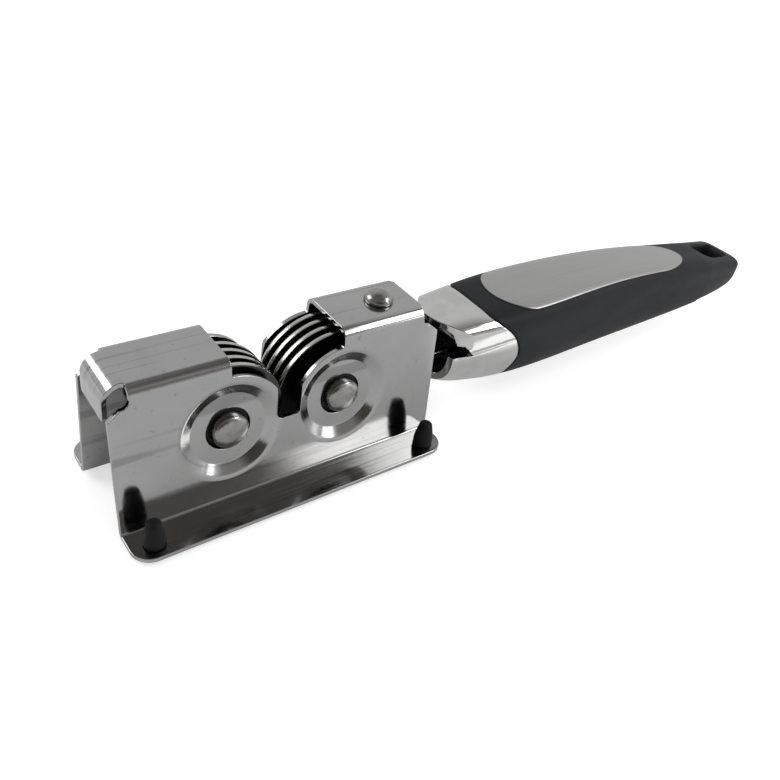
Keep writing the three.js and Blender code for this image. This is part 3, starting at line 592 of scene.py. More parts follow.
def head_sheet():
    outline = shifted(wound(both_sides(half_edge()), 1), EDGE_ROUND)
    holes = [shifted(wound(both_sides(slot_edge()), -1), EDGE_ROUND)]
    foot_s = FLANGE_START + FLANGE_EDGE - FOOT_FROM_EDGE - FOOT_Y
    for side in (-1, 1):
        holes += [circle(axle, side * AXLE_S, HOLE_RADIUS + EDGE_ROUND, 96) for axle in AXLES]
        holes += [circle(x, side * foot_s, FOOT_HOLE + EDGE_ROUND, 32)
                  for x in (FOOT_FROM_END, HEAD_LENGTH - FOOT_FROM_END)]
    holes.append(circle(RIVET_AT, 0, RIVET_HOLE + EDGE_ROUND, 32))
    corner_end = DISH_FLOOR_RADIUS + DISH_CORNER
    radii = [*np.linspace(HOLE_RADIUS + 0.5, DISH_FLOOR_RADIUS, 5),
             *np.linspace(DISH_FLOOR_RADIUS, corner_end, 6)[1:],
             *np.linspace(corner_end, DISH_STEEP_RADIUS, 5)[1:],
             *np.linspace(DISH_STEEP_RADIUS, DISH_RADIUS, 9)[1:]]
    loops = [outline] + holes
    loops += [circle(axle, side * AXLE_S, r, 96) for side in (-1, 1) for axle in AXLES for r in radii]
    points, edges = [], []
    for loop in loops:
        first = len(points)
        points += [tuple(p) for p in loop]
        edges += [(first + i, first + (i + 1) % len(loop)) for i in range(len(loop))]
    bends, margin = 10, 0.4
    for k in range(bends + 1):
        top_fold = TOP_FLAT + (BEND_END - TOP_FLAT) * k / bends
        foot_fold = WALL_LOW + (FLANGE_START - WALL_LOW) * k / bends
        for s in (-top_fold, top_fold, -foot_fold, foot_fold):
            points += [(-1, s), (HEAD_LENGTH + 1, s)]
            edges.append((len(points) - 2, len(points) - 1))
        turn = math.pi / 2 * k / bends
        for x in (LEFT_FLAP_BEND * (1 - turn), RIGHT_BEND_AT + RIGHT_FLAP_BEND * turn):
            points += [(x, -TOP_FLAT - margin), (x, TOP_FLAT + margin)]
            edges.append((len(points) - 2, len(points) - 1))
    flat, _, faces, *_ = delaunay_2d_cdt([Vector(p) for p in points], edges, [], 0, 1e-5, False)
    flat = np.array([tuple(p) for p in flat])
    faces = np.array([f for f in faces if len(f) == 3])
    a, b, c = (flat[faces[:, k]] for k in range(3))
    turn = (b[:, 0] - a[:, 0]) * (c[:, 1] - a[:, 1]) - (b[:, 1] - a[:, 1]) * (c[:, 0] - a[:, 0])
    faces[turn < 0] = faces[turn < 0][:, ::-1]
    middle = (a + b + c) / 3
    kept = inside(outline, middle) & (np.abs(turn) > 1e-9)
    for hole in holes:
        kept &= ~inside(hole, middle)
    faces = faces[kept]
    used, faces = np.unique(faces, return_inverse=True)
    faces = faces.reshape(-1, 3)
    flat = flat[used]
    place, normal, along, across = fold(flat)
    count = len(flat)
    points = [place, place - SHEET * normal]
    normals = [normal, -normal]
    made = [list(f) for f in faces] + [[count + f[2], count + f[1], count + f[0]] for f in faces]
    halves = {(int(f[i]), int(f[(i + 1) % 3])) for f in faces for i in range(3)}
    ahead = {i: j for i, j in halves if (j, i) not in halves}
    behind = {j: i for i, j in ahead.items()}
    rim = np.array(sorted(ahead))
    order = {int(v): k for k, v in enumerate(rim)}
    to_next = flat[[ahead[v] for v in rim]] - flat[rim]
    from_last = flat[rim] - flat[[behind[v] for v in rim]]
    outward = sum(np.column_stack([d[:, 1], -d[:, 0]]) / np.linalg.norm(d, axis=1)[:, None]
                  for d in (to_next, from_last))
    outward /= np.linalg.norm(outward, axis=1)[:, None]
    out = along[rim] * outward[:, :1] + across[rim] * outward[:, 1:]
    rows = []
    turns = (0.52, 1.05, 1.57)
    steps = [(t, EDGE_ROUND * (1 - math.cos(t)), t) for t in turns]
    steps += [(t, SHEET - EDGE_ROUND * (1 - math.cos(t)), math.pi - t) for t in reversed(turns)]
    for t, down, tilt in steps:
        rows.append(sum(len(p) for p in points))
        points.append(place[rim] + out * (EDGE_ROUND * math.sin(t)) - normal[rim] * down)
        normals.append(out * math.sin(tilt) + normal[rim] * math.cos(tilt))
    for v, k in order.items():
        w = ahead[v]
        chain_v = [v] + [row + k for row in rows] + [count + v]
        chain_w = [w] + [row + order[w] for row in rows] + [count + w]
        for i in range(len(chain_v) - 1):
            made.append([chain_w[i], chain_v[i], chain_v[i + 1], chain_w[i + 1]])
    return np.vstack(points), made, np.vstack(normals)


points, faces, normals = head_sheet()
add_piece("head_sheet", points, faces, SHEET_CHROME, "frame", ["housing"], normals)


# Rollers

def at_axle(points, axle):
    return points + (axle, 0, AXLE_HEIGHT)


def add_ring(name, axle, radii, ends, bevel, look, body, node, segments=64):
    points, faces = turned(bevelled_ring(*radii, *ends, bevel), segments, True)
    add_piece(name, at_axle(points, axle), faces, look, body, [node])


def pin_profile():
    apex, buried = wall_face(AXLE_HEIGHT) + PIN_PROUD, 2
    half = [(PIN_RADIUS, apex - PIN_DOME - buried)]
    for k in range(10):
        angle = math.pi / 2 * k / 10
        half.append((PIN_RADIUS * math.cos(angle) ** 0.75, apex - PIN_DOME + PIN_DOME * math.sin(angle)))
    half.append((0, apex))
    return [(r, -a) for r, a in reversed(half)] + half


for side, axle, shift in zip(("left", "right"), AXLES, STACK_SHIFTS):
    body = f"{side}_roller"
    points, faces = turned(pin_profile(), 64)
    add_piece(f"{side}_pin", at_axle(points, axle), faces, PIN_STEEL, body, [f"{side}_axle"])
    first = shift - DISC_PITCH * (DISC_COUNT - 1) / 2
    last = first + DISC_PITCH * (DISC_COUNT - 1)
    clear = DISC_HALF + PRESS_GAP
    for i in range(DISC_COUNT):
        y = first + DISC_PITCH * i
        add_ring(f"{side}_ground_disc_{i + 1}", axle, (BORE, DISC_RADIUS), (y - DISC_HALF, y + DISC_HALF), 0.12,
                 DISC_STEEL, body, f"{side}_disc_{i + 1}", 128)
        if i < DISC_COUNT - 1:
            ends = (y + clear, y + DISC_PITCH - clear)
            add_ring(f"{side}_spacer_ring_{i + 1}", axle, (BORE, SPACER_RADIUS), ends, 0.1,
                     NYLON, body, f"{side}_spacer_{i + 1}")
    for end, way, ends in (("front", -1, (-COLLAR_END, first - clear)), ("rear", 1, (last + clear, COLLAR_END))):
        add_ring(f"{side}_{end}_sleeve", axle, (BORE, COLLAR_RADIUS), ends, 0.2,
                 NYLON, body, f"{side}_{end}_collar")
        ends = sorted((way * (COLLAR_END + RUN_GAP), way * (FLOOR_OUTSIDE - BUSH_SUNK)))
        add_ring(f"{side}_{end}_bearing", axle, (BUSH_BORE, HOLE_RADIUS - BUSH_PLAY), ends, 0.12,
                 NYLON, "frame", f"{side}_{end}_bush")


# Feet

def foot_profile():
    """Pad below the flange, neck through its hole and tapered nub above."""
    pad = [(0, -PAD_HEIGHT), (1.9, -PAD_HEIGHT), (2.2, -1.12), (2.42, -0.9), (2.5, -0.6), (2.5, -0.12),
           (2.43, -PRESS_GAP), (1.7, -PRESS_GAP)]
    nub = [(1.7, PRESS_GAP), (1.8, PRESS_GAP), (1.92, 0.15), (2.04, 0.6), (2.1, 1.2), (2.07, 1.8), (1.93, 2.8),
           (1.7, 4.0), (1.45, 5.1), (1.34, 5.5), (1.15, 5.73), (0.83, 5.89), (0.4, 5.95), (0, 5.95)]
    return pad + [(radius, SHEET + height) for radius, height in nub]


for end, x in (("left", FOOT_FROM_END), ("right", HEAD_LENGTH - FOOT_FROM_END)):
    for side, way in (("front", -1), ("rear", 1)):
        points, faces = turned(foot_profile(), 40)
        place = (x, way * (FLANGE_EDGE - FOOT_FROM_EDGE), 0)
        add_piece(f"{side}_{end}_rubber", upright(points) + place, faces, RUBBER, "frame",
                  [f"{side}_{end}_foot"], sharp=50)


# Tang and rivet

def arc(x, z, radius, start, end, steps=10):
    return [(x + radius * math.cos(start + (end - start) * k / steps),
             z + radius * math.sin(start + (end - start) * k / steps)) for k in range(steps + 1)]


def extruded(outline, half, bevel):
    """Outline in (x, z) drawn out across Y, with its two rims chamfered."""
    outline = wound(np.array(outline, float), 1)
    small = shifted(outline, bevel)
    rims = [(small, -half), (outline, bevel - half), (outline, half - bevel), (small, half)]
    rows = [np.column_stack([o[:, 0], np.full(len(o), y), o[:, 1]]) for o, y in rims]
    points, faces = skinned(rows, False)
    return points, caps(rows) + faces


def tang_outline():
    top = HEAD_HEIGHT - SHEET - PRESS_GAP
    bottom, wide = top - TANG_THICK, TANG_BEND + TANG_THICK
    low, high = TANG_HEIGHT - TANG_THICK / 2, TANG_HEIGHT + TANG_THICK / 2
    near = TANG_STEP_AT - TANG_THICK
    quarter = math.pi / 2
    return ([(TANG_START, bottom)]
            + arc(near - TANG_BEND, bottom - TANG_BEND, TANG_BEND, quarter, 0)
            + arc(near + wide, low + wide, wide, 2 * quarter, 3 * quarter)
            + [(TANG_END, low), (TANG_END, high)]
            + arc(TANG_STEP_AT + TANG_BEND, high + TANG_BEND, TANG_BEND, 3 * quarter, 2 * quarter)
            + arc(TANG_STEP_AT - wide, top - wide, wide, 0, quarter)
            + [(TANG_START, top)])


points, faces = extruded(tang_outline(), TANG_HALF, 0.15)
add_piece("tang_strip", points, faces, PIN_STEEL, "frame", ["tang"])

seat = HEAD_HEIGHT + PRESS_GAP
under = HEAD_HEIGHT - SHEET - TANG_THICK - 2 * PRESS_GAP
tail = [(0, -0.9), (2.7, -0.9), (2.92, -0.82), (3, -0.6), (3, 0), (2, 0)]
head = [(2, 0), (2.87, 0), (3.01, 0.08), (RIVET_RADIUS, RIVET_EDGE)]
for k in range(1, 16):
    angle = math.pi / 2 * k / 16
    rise = (RIVET_HEIGHT - RIVET_EDGE) * math.sin(angle)
    head.append((RIVET_RADIUS * math.cos(angle) ** 0.8, RIVET_EDGE + rise))
head.append((0, RIVET_HEIGHT))
points, faces = turned([(r, under + z) for r, z in tail] + [(r, seat + z) for r, z in head], 64)
add_piece("domed_rivet", upright(points) + (RIVET_AT, 0, 0), faces, PIN_STEEL, "frame",
          ["tang_rivet"])


# Handle: smooth outlines along its length and rounded sections

def spline(places):
    """Smooth curve through places, sampled densely, as (x, value) arrays."""
    p = np.array([(NOSE + at, value) for at, value in places], float)
    last = len(p) - 1
    xs, values = [], []
    for i in range(last):
        p0, p1, p2, p3 = p[max(i - 1, 0)], p[i], p[i + 1], p[min(i + 2, last)]
        v0, v1 = (p2 - p0) / 2, (p3 - p1) / 2
        t = np.linspace(0, 1, 200, endpoint=i == last - 1)[:, None]
        q = (2 * p1 - 2 * p2 + v0 + v1) * t ** 3 + (-3 * p1 + 3 * p2 - 2 * v0 - v1) * t ** 2 + v0 * t + p1
        xs.append(q[:, 0])
        values.append(q[:, 1])
    return np.concatenate(xs), np.concatenate(values)


TOP_LINE = spline([(0, 23.9), (26.8, 25.2), (62.8, 24.7), (116.4, 18.4)])
BOTTOM_LINE = spline([(0, 9.0), (8.8, 6.2), (30.8, 4.45), (99.1, 5.1), (116.4, 9.6)])
SIDE_LINE = spline([(0, 8.6), (25.8, 10.9), (60.8, 9.6), (116.4, 7.4)])
WIDEST_SHARE = 0.62
TOP_SQUARE = 4.6
BOTTOM_SQUARE = 2.9
END_ROUND = 4.0
END_SQUARE = 2.5
AROUND = 240


def line_at(line, x):
    return np.interp(x, *line)


def section(x, inset, top_square=TOP_SQUARE, lift=0.0):
    """One section of the handle as AROUND places, spaced evenly round it from the far side over the top."""
    top, bottom = line_at(TOP_LINE, x) - inset, line_at(BOTTOM_LINE, x) + inset + lift
    widest = bottom + WIDEST_SHARE * (top - bottom)
    left = min(1, max(0, (TIP - x) / END_ROUND))
    close = (1 - (1 - left) ** END_SQUARE) ** (1 / END_SQUARE)
    half = (line_at(SIDE_LINE, x) - inset) * (0.2 + 0.8 * close)
    tall = 0.3 + 0.7 * close
    angle = np.linspace(0, 2 * math.pi, 4001)
    c, s = np.cos(angle), np.sin(angle)
    square = np.where(s > 0, top_square, BOTTOM_SQUARE)
    y = half * np.sign(c) * np.abs(c) ** (2 / square)
    reach = np.where(s > 0, top - widest, widest - bottom) * tall
    z = widest + reach * np.sign(s) * np.abs(s) ** (2 / square)
    run = np.concatenate([[0], np.cumsum(np.hypot(np.diff(y), np.diff(z)))])
    even = np.linspace(0, run[-1], AROUND, endpoint=False)
    return np.interp(even, run, y), np.interp(even, run, z)


class Form:
    """Table of handle sections at one inset, read at any x for each place round the section."""

    def __init__(self, inset, start, end, nose_square=TOP_SQUARE, square_by=1.0, step=0.25):
        self.x = np.linspace(start, end, int((end - start) / step) + 2)
        squares = np.interp(self.x, [NOSE, NOSE + square_by], [nose_square, TOP_SQUARE])
        made = [section(x, inset, square) for x, square in zip(self.x, squares)]
        self.y = np.array([m[0] for m in made])
        self.z = np.array([m[1] for m in made])

    def at(self, x):
        spot = np.clip((x - self.x[0]) / (self.x[1] - self.x[0]), 0, len(self.x) - 1.001)
        low = spot.astype(int)
        share = spot - low
        column = np.arange(AROUND)
        y = self.y[low, column] * (1 - share) + self.y[low + 1, column] * share
        z = self.z[low, column] * (1 - share) + self.z[low + 1, column] * share
        return np.column_stack([x, y, z])


MOUTH_DEPTH = 8.5
OUTER = Form(0, NOSE - 1, TIP - END_ROUND)
INNER = Form(SKIN, NOSE - 3, TIP - 10)
MOUTH = Form(1.5, NOSE - 3, NOSE + 30, 2.2, MOUTH_DEPTH)

# Front of the collar: a pointed top, a blunter chin and a notch in each side between them
NOSE_RADIUS = 9.6
NOSE_REACH = 9.1
CHIN_RADIUS = 18.0
NOTCH_TOP, NOTCH_TOP_AT = 19.2, 5.3
NOTCH_END, NOTCH_END_AT = 16.7, 7.6
NOTCH_LOW = 17.2

# Line where the collar meets the grip, by its drop below the top there
BAND_TOP, BAND_SIDE, BAND_BOTTOM = 12.5, 21.2, 19.8
BAND_DROPS = (0.3, 5.6, 11.5, 15.8)
BAND_Z = line_at(TOP_LINE, NOSE + BAND_TOP)

# Parting line along each side of the collar
PARTING_Z = 16.5
PARTING_RISE = 0.112
PARTING_HALF = 0.5
PARTING_DEPTH = 0.16
PARTING_FROM = 6.0


def nose_line(form):
    x = np.full(AROUND, NOSE)
    for _ in range(12):
        _, y, z = form.at(x).T
        top = NOSE_RADIUS - np.sqrt(NOSE_RADIUS ** 2 - np.minimum(np.abs(y), NOSE_REACH) ** 2)
        chin = CHIN_RADIUS - np.sqrt(CHIN_RADIUS ** 2 - y ** 2)
        x = NOSE + chin + (top - chin) * np.clip((z - NOTCH_LOW - 0.4) / 1.2, 0, 1)
    return x


def band_line(form):
    t = np.linspace(0, 1, 80)
    shoulder, pull, side, bottom = BAND_DROPS
    curve_x = (1 - t) ** 2 * BAND_TOP + (2 * t * (1 - t) + t ** 2) * BAND_SIDE
    curve_drop = (1 - t) ** 2 * shoulder + 2 * t * (1 - t) * pull + t ** 2 * side
    drops, places = np.append(curve_drop, bottom), np.append(curve_x, BAND_BOTTOM)
    low, high = np.full(AROUND, NOSE + 4.0), np.full(AROUND, NOSE + 26.0)
    for _ in range(40):
        x = (low + high) / 2
        edge = NOSE + np.interp(BAND_Z - form.at(x)[:, 2], drops, places)
        low, high = np.where(x < edge, x, low), np.where(x < edge, high, x)
    return (low + high) / 2


def grooved(points):
    """Collar's surface with the fine parting line along each side."""
    away = np.abs(points[:, 2] - PARTING_Z - PARTING_RISE * (points[:, 0] - NOSE)) / PARTING_HALF
    depth = PARTING_DEPTH * np.maximum(0, 1 - away ** 2)
    sunk = points.copy()
    sunk[:, 1] -= np.sign(points[:, 1]) * np.where(np.abs(points[:, 1]) > PARTING_FROM, depth, 0)
    return sunk


def toward(points, centre):
    """Directions from places to a centre."""
    way = centre - points
    return way / np.linalg.norm(way, axis=1)[:, None]


COLLAR_CENTRE_Z = 15.0
nose_out, nose_in = nose_line(OUTER), nose_line(MOUTH)
band = band_line(OUTER)
lip_out, lip_in = OUTER.at(nose_out), MOUTH.at(nose_in)
rows = [lip_out + (lip_in - lip_out) * share for share in (0.85, 0.5, 0.15, 0.05)]
rows += [OUTER.at(nose_out + d) for d in (0.12, 0.3)]
rows += [grooved(OUTER.at(nose_out + 0.3 + (band - nose_out - 0.55) * k / 28)) for k in range(1, 29)]
rim = OUTER.at(band - 0.08)
inward = toward(rim, np.column_stack([band, np.zeros(AROUND), np.full(AROUND, COLLAR_CENTRE_Z)]))
rows += [rim + inward * 0.06] + [OUTER.at(band) + inward * depth for depth in (0.2, 0.9, SKIN)]
rows += [MOUTH.at(band + (nose_in + 0.3 - band) * k / 20) for k in range(1, 21)]
points, faces = skinned(rows, True)
collar = add_piece("chromed_collar", points, faces, COLLAR_CHROME, "frame",
                   ["bolster"], sharp=60)

SLEEVE_LENGTH = 99.1
SLEEVE_CENTRE_Z = 14.0
start = band + CUT_GAP
sleeve_end = NOSE + SLEEVE_LENGTH
rows = [OUTER.at(start) + inward * depth for depth in (SKIN, 0.5, 0.16)]
rows += [OUTER.at(start + 0.1) + inward * 0.04]
rows += [OUTER.at(start + 0.3 + (sleeve_end - start - 0.3) * k / 110) for k in range(111)]
end_ring = OUTER.at(np.full(AROUND, sleeve_end))
to_middle = toward(end_ring, np.array((sleeve_end, 0, SLEEVE_CENTRE_Z)))
rows += [end_ring + to_middle * 0.8, end_ring + to_middle * SKIN]
rows += [INNER.at(sleeve_end - 1 + (start + 1 - sleeve_end) * k / 30) for k in range(31)]
points, faces = skinned(rows, True)
add_piece("soft_sleeve", points, faces, GRIP_SOFT, "frame", ["grip_sleeve"], sharp=60)


# Core with the hard tail and its hang hole

TAIL_LIFT = 0.45
tail_start = sleeve_end + 0.02
tail_x = np.concatenate([
    np.linspace(tail_start, TIP - END_ROUND - 0.4, 26),
    TIP - END_ROUND * (1 - np.sin(np.linspace(0, math.pi / 2, 22))),
])
inner_x = np.linspace(NOSE + 9.3, tail_start - 0.5, 12)
rows = [np.column_stack([np.full(AROUND, x), *section(x, SKIN + CUT_GAP)]) for x in inner_x]
rows += [np.column_stack([np.full(AROUND, x), *section(x, 0.02, lift=TAIL_LIFT)]) for x in tail_x]
points, faces = skinned(rows, False)
core = add_piece("hard_core_tail", points, faces + caps(rows), CORE_HARD, "frame",
                 ["grip_core"], sharp=60)

HOLE_AT = NOSE + 107.1
HOLE_HALF_LONG, HOLE_HALF_WIDE, HOLE_CORNER = 4.7, 3.7, 2.0


def hang_hole():
    """Closed form of the hang hole, flared where it comes out of the tail's top."""
    path = [(HOLE_AT + i * HOLE_HALF_LONG, j * HOLE_HALF_WIDE, HOLE_CORNER)
            for i, j in ((-1, -1), (1, -1), (1, 1), (-1, 1))]
    outline = rounded_path(path)
    rows = []
    for grow, below in ((0, 30), (0, 1.2), (0.12, 0.7), (0.35, 0.3), (0.8, -0.1), (1.4, -0.8)):
        loop = shifted(outline, -grow) if grow else outline
        rows.append(np.column_stack([loop, line_at(TOP_LINE, loop[:, 0]) - below]))
    points, faces = skinned(rows, False)
    return points, caps(rows) + faces


def cut_from(piece, points, faces, sharp):
    """Cuts a closed form out of a piece and keeps the result as the piece's own mesh."""
    cutter = bpy.data.objects.new("cut", new_mesh("cut", points, faces))
    scene.collection.objects.link(cutter)
    modifier = piece.modifiers.new("cut", "BOOLEAN")
    modifier.object = cutter
    modifier.operation = "DIFFERENCE"
    modifier.solver = "EXACT"
    bpy.context.view_layer.update()
    result = bpy.data.meshes.new_from_object(piece.evaluated_get(bpy.context.evaluated_depsgraph_get()))
    piece.modifiers.clear()
    piece.data = result
    result.shade_smooth()
    result.set_sharp_from_angle(angle=math.radians(sharp))
    bpy.data.objects.remove(cutter)


cut_from(core, *hang_hole(), 40)
notch = [(NOSE - 3, NOTCH_LOW), (NOSE + NOTCH_END_AT, NOTCH_END),
         (NOSE + NOTCH_TOP_AT, NOTCH_TOP), (NOSE - 3, NOTCH_TOP)]
cut_from(collar, *extruded(notch, 15, 0.01), 50)


# Inlay plate on the grip's top, with a black strip round it as painted shade for the gap between plate and grip

INLAY_START, INLAY_END = NOSE + 18.8, NOSE + 90.8
FRONT_ROUND, REAR_ROUND = 8.0, 16.0
INLAY_MARGIN = 1.9
INLAY_PROUD = 0.15
INLAY_THICK = 0.65
INLAY_EDGE_FROM = 0.985
INLAY_EDGE_DROP = 0.1
GAP_SHADE_WIDTH = 0.32
GAP_SHADE_TOP, GAP_SHADE_LOW = 0.03, -0.5


def grip_top(x, y):
    """Height of the grip's surface over a place seen from above."""
    top, bottom = line_at(TOP_LINE, x), line_at(BOTTOM_LINE, x)
    widest = bottom + WIDEST_SHARE * (top - bottom)
    share = np.clip(np.abs(y) / line_at(SIDE_LINE, x), 0, 1)
    c = share ** (TOP_SQUARE / 2)
    return widest + (top - widest) * np.sqrt(1 - np.minimum(c, 1) ** 2) ** (2 / TOP_SQUARE)


def inlay_half(x, grow):
    """Half width of the inlay plate's outline at x."""
    start, end = INLAY_START - grow, INLAY_END + grow
    side_start, side_end = start + FRONT_ROUND, end - REAR_ROUND
    middle = np.clip(x, side_start, side_end)
    edge = line_at(SIDE_LINE, middle) - INLAY_MARGIN + grow
    front = np.clip((side_start - x) / FRONT_ROUND, 0, 1)
    rear = np.clip((x - side_end) / REAR_ROUND, 0, 1)
    return edge * np.sqrt(1 - front ** 2) * np.sqrt(1 - rear ** 2)


def inlay_stations(grow):
    start, end = INLAY_START - grow, INLAY_END + grow
    front = start + FRONT_ROUND * (1 - np.cos(np.linspace(0, math.pi / 2, 26)))
    rear = end - REAR_ROUND * (1 - np.sin(np.linspace(0, math.pi / 2, 26)))
    return np.concatenate([front, np.linspace(start + FRONT_ROUND, end - REAR_ROUND, 62)[1:-1], rear])


def inlay_plate():
    x = inlay_stations(0)
    across = np.sin(np.linspace(-math.pi / 2, math.pi / 2, 61))
    half = inlay_half(x, 0)
    grid_x = np.repeat(x[:, None], len(across), 1)
    grid_y = half[:, None] * across[None, :]
    drop = INLAY_EDGE_DROP * np.clip((np.abs(across) - INLAY_EDGE_FROM) / (1 - INLAY_EDGE_FROM), 0, 1) ** 2
    top = grip_top(grid_x, grid_y) + INLAY_PROUD - drop[None, :]
    count = len(across)
    upper = np.column_stack([grid_x.ravel(), grid_y.ravel(), top.ravel()])
    points = np.vstack([upper, upper - (0, 0, INLAY_THICK)])
    faces = []
    rows = len(x)
    size = rows * count
    for r in range(rows - 1):
        for i in range(count - 1):
            a, b = r * count + i, (r + 1) * count + i
            faces.append([a, b, b + 1, a + 1])
            faces.append([size + a, size + a + 1, size + b + 1, size + b])
        for i in (0, count - 1):
            a, b = r * count + i, (r + 1) * count + i
            faces.append([a, b, size + b, size + a])
    return points, faces


def merged(points, faces, distance=1e-4):
    """Same form with coincident places joined and collapsed faces dropped."""
    _, index, inverse = np.unique(np.round(points / distance).astype(int), axis=0,
                                  return_index=True, return_inverse=True)
    inverse = inverse.ravel()
    kept = []
    for face in faces:
        corners = list(dict.fromkeys(int(inverse[v]) for v in face))
        if len(corners) > 2:
            kept.append(corners)
    return points[index], kept


points, faces = merged(*inlay_plate())
add_piece("bare_inlay_plate", points, faces, INLAY_SATIN, "frame", ["inlay_plate"], sharp=50)

# The black strip that follows the plate's outline stands for the shadow in the gap round the plate: painted
# shade.
rows = []
for grow, lift in ((0.0, GAP_SHADE_LOW), (0.0, GAP_SHADE_TOP), (GAP_SHADE_WIDTH, GAP_SHADE_TOP), (GAP_SHADE_WIDTH, GAP_SHADE_LOW)):
    x = inlay_stations(grow)
    half = inlay_half(x, grow)
    loop_x = np.concatenate([x, x[-2:0:-1]])
    loop_y = np.concatenate([half, -half[-2:0:-1]])
    rows.append(np.column_stack([loop_x, loop_y, grip_top(loop_x, loop_y) + lift]))
points, faces = skinned(rows, True)
add_piece("inlay_gap_shade", points, faces, NYLON, "frame", [])


# Floor, world and lamps

FLOOR_GLOW = 0.58
MIRRORED_FLOOR = 0.12
SKY_FILL = 0.5
MIRRORED_SKY = (0.76, 0.76, 0.76)
MIRRORED_DARK = (0.1, 0.085, 0.07)


mesh = bpy.data.meshes.new("floor")
mesh.from_pydata([(-3, -3, 0), (3, -3, 0), (3, 3, 0), (-3, 3, 0)], [], [(0, 1, 2, 3)])
floor = bpy.data.objects.new("floor", mesh)
floor.location.z = -0.0002
scene.collection.objects.link(floor)
pale = bpy.data.materials.new("pale_floor")
pale.use_nodes = True
tree = pale.node_tree
tree.nodes.clear()
diffuse = add_node(tree, "ShaderNodeBsdfDiffuse", Color=(0.8, 0.8, 0.8, 1))
glow = add_node(tree, "ShaderNodeEmission", Color=(1, 1, 1, 1))
rays = add_node(tree, "ShaderNodeLightPath").outputs
ground = add_node(tree, "ShaderNodeNewGeometry").outputs["Position"]
# Glossy rays see the floor glow at full strength in a strip in front of the head and only faintly elsewhere:
# painted light, a glowing floor patch seen in reflections.
across = dot(tree, ground, (0.75, 0.66, 0))
left_side = span(tree, across, 0, 1, -0.026, -0.02)
right_side = span(tree, across, 1, 0, 0.006, 0.012)
near_side = span(tree, axes_of(tree, ground)["Y"], 1, 0, -0.035, -0.03)
patch = multiply(tree, multiply(tree, left_side, right_side), near_side)
mirrored = calc(tree, "MULTIPLY", rays["Is Glossy Ray"], span(tree, patch, MIRRORED_FLOOR, 1.0, 0, 1))
level = calc(tree, "MULTIPLY_ADD", rays["Is Camera Ray"], FLOOR_GLOW, mirrored)
tree.links.new(level, glow.inputs["Strength"])
both = add_node(tree, "ShaderNodeAddShader")
tree.links.new(diffuse.outputs[0], both.inputs[0])
tree.links.new(glow.outputs[0], both.inputs[1])
output = add_node(tree, "ShaderNodeOutputMaterial")
tree.links.new(both.outputs[0], output.inputs["Surface"])
mesh.materials.append(pale)

world = bpy.data.worlds.new("studio")
scene.world = world
world.use_nodes = True
tree = world.node_tree
tree.nodes.clear()
direction = add_node(tree, "ShaderNodeTexCoord").outputs["Generated"]


def dark_lobe(way, dark_angle, clear_angle):
    """1 in the directions near a way, falling to 0 between two angles in degrees."""
    dark, clear = (math.cos(math.radians(angle)) for angle in (dark_angle, clear_angle))
    return span(tree, dot(tree, direction, Vector(way).normalized()), 0, 1, clear, dark)


# Room that only mirrored rays see: an arch of tones from the back over the top to the front, and dark places
rays = add_node(tree, "ShaderNodeLightPath").outputs
axes = axes_of(tree, direction)
over = calc(tree, "ARCTAN2", calc(tree, "MULTIPLY", axes["Y"], -1), axes["Z"])
arch = span(tree, over, 0, 1, math.radians(-90), math.radians(90))
room = ramp(tree, arch, [(0.27, MIRRORED_SKY), (0.34, (0.4, 0.38, 0.36)), (0.4, (0.25, 0.23, 0.22)),
                         (0.52, (0.31, 0.29, 0.27)), (0.64, (0.19, 0.175, 0.165)), (0.76, (0.43, 0.4, 0.38)),
                         (0.87, (0.25, 0.23, 0.22)), (0.94, (0.48, 0.46, 0.45)), (1.0, MIRRORED_SKY)])
walled = mix(tree, span(tree, axes["X"], 1, 0, 0.5, 0.56), (*MIRRORED_SKY, 1), room)
low_front = dark_lobe((-0.4, -0.85, 0.2), 25, 35)
upper_right = dark_lobe((0.66, -0.03, 0.75), 5, 9)
mirrored = mix(tree, calc(tree, "MAXIMUM", low_front, upper_right), walled, (*MIRRORED_DARK, 1))
backdrop = mix(tree, rays["Is Glossy Ray"], (1, 1, 1, 1), mirrored)
seen = add_node(tree, "ShaderNodeBackground", Strength=1.0)
tree.links.new(backdrop, seen.inputs["Color"])
fill = add_node(tree, "ShaderNodeBackground", Color=(1, 1, 1, 1), Strength=SKY_FILL)
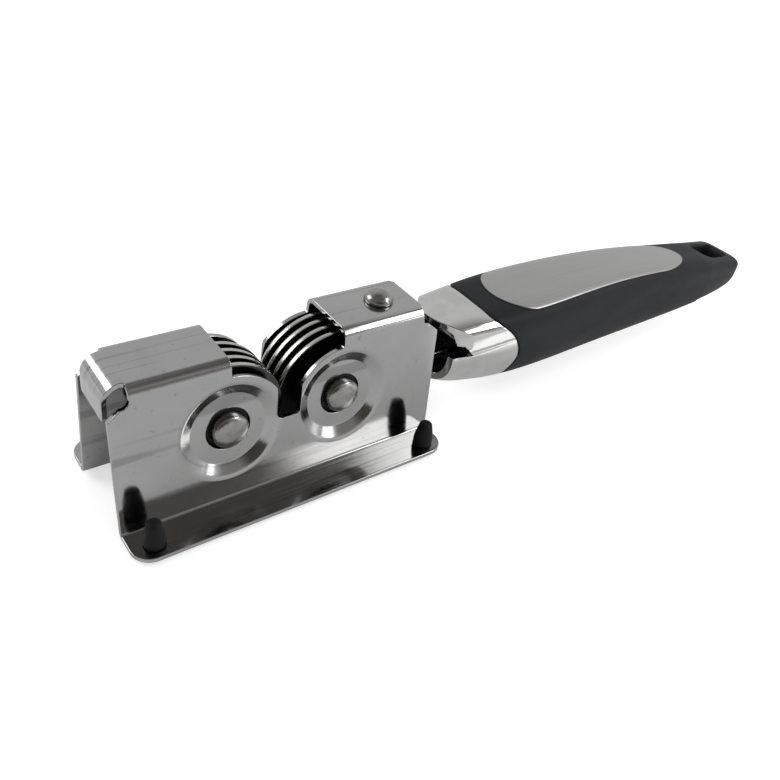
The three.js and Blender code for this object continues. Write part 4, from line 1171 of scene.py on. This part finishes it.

# White for rays from the camera and refracted ones, the room for mirrored ones, and a plain fill for the rest
direct = calc(tree, "MAXIMUM", rays["Is Camera Ray"], rays["Is Glossy Ray"])
direct = calc(tree, "MAXIMUM", direct, rays["Is Transmission Ray"])
mixed = add_node(tree, "ShaderNodeMixShader")
for socket, part in zip(mixed.inputs, (direct, fill.outputs[0], seen.outputs[0])):
    tree.links.new(part, socket)
output = add_node(tree, "ShaderNodeOutputWorld")
tree.links.new(mixed.outputs[0], output.inputs["Surface"])

LAMP_TARGET = Vector((-0.03, 0, 0.015))


def area_lamp(name, way, distance, size, radiance, slant=0):
    lamp = bpy.data.lights.new(name, "AREA")
    lamp.shape = "RECTANGLE"
    lamp.size, lamp.size_y = size
    lamp.energy = radiance * math.pi * size[0] * size[1]
    made = bpy.data.objects.new(name, lamp)
    scene.collection.objects.link(made)
    way = Vector(way).normalized()
    made.location = LAMP_TARGET + way * distance
    facing = way.to_track_quat("Z", "Y") @ Quaternion((0, 0, 1), math.radians(slant))
    made.rotation_euler = facing.to_euler()


area_lamp("right_softbox", (0.61, -0.51, 0.61), 0.7, (0.5, 0.25), 5.0, 38)
area_lamp("back_softbox", (-0.6, 0.59, 0.54), 0.7, (0.36, 0.36), 4.4)
area_lamp("low_softbox", (0.66, -0.74, 0.13), 0.6, (0.15, 0.1), 3.0)


# Camera at the photograph's viewing angle

FOCAL_PIXELS, PHOTO_PIXELS, SENSOR = 803.4, 780, 36
CAMERA_AT = (-0.1268, -0.10862, 0.11643)
azimuth, elevation, roll = math.radians(-42.25), math.radians(36.90), math.radians(10.58)
back = Vector((math.sin(azimuth) * math.cos(elevation), -math.cos(azimuth) * math.cos(elevation),
               math.sin(elevation)))
right = Vector((0, 0, 1)).cross(back).normalized()
up = back.cross(right)
turned_right = right * math.cos(roll) + up * math.sin(roll)
turned_up = up * math.cos(roll) - right * math.sin(roll)
lens = bpy.data.cameras.new("photo_camera")
lens.sensor_width = SENSOR
lens.lens = FOCAL_PIXELS / PHOTO_PIXELS * SENSOR
lens.clip_start, lens.clip_end = 0.01, 20
camera = bpy.data.objects.new("photo_camera", lens)
scene.collection.objects.link(camera)
place = Matrix((turned_right, turned_up, back)).transposed().to_4x4()
place.translation = CAMERA_AT
camera.matrix_world = place
scene.camera = camera
scene.view_settings.view_transform = "Standard"

bpy.context.view_layer.update()
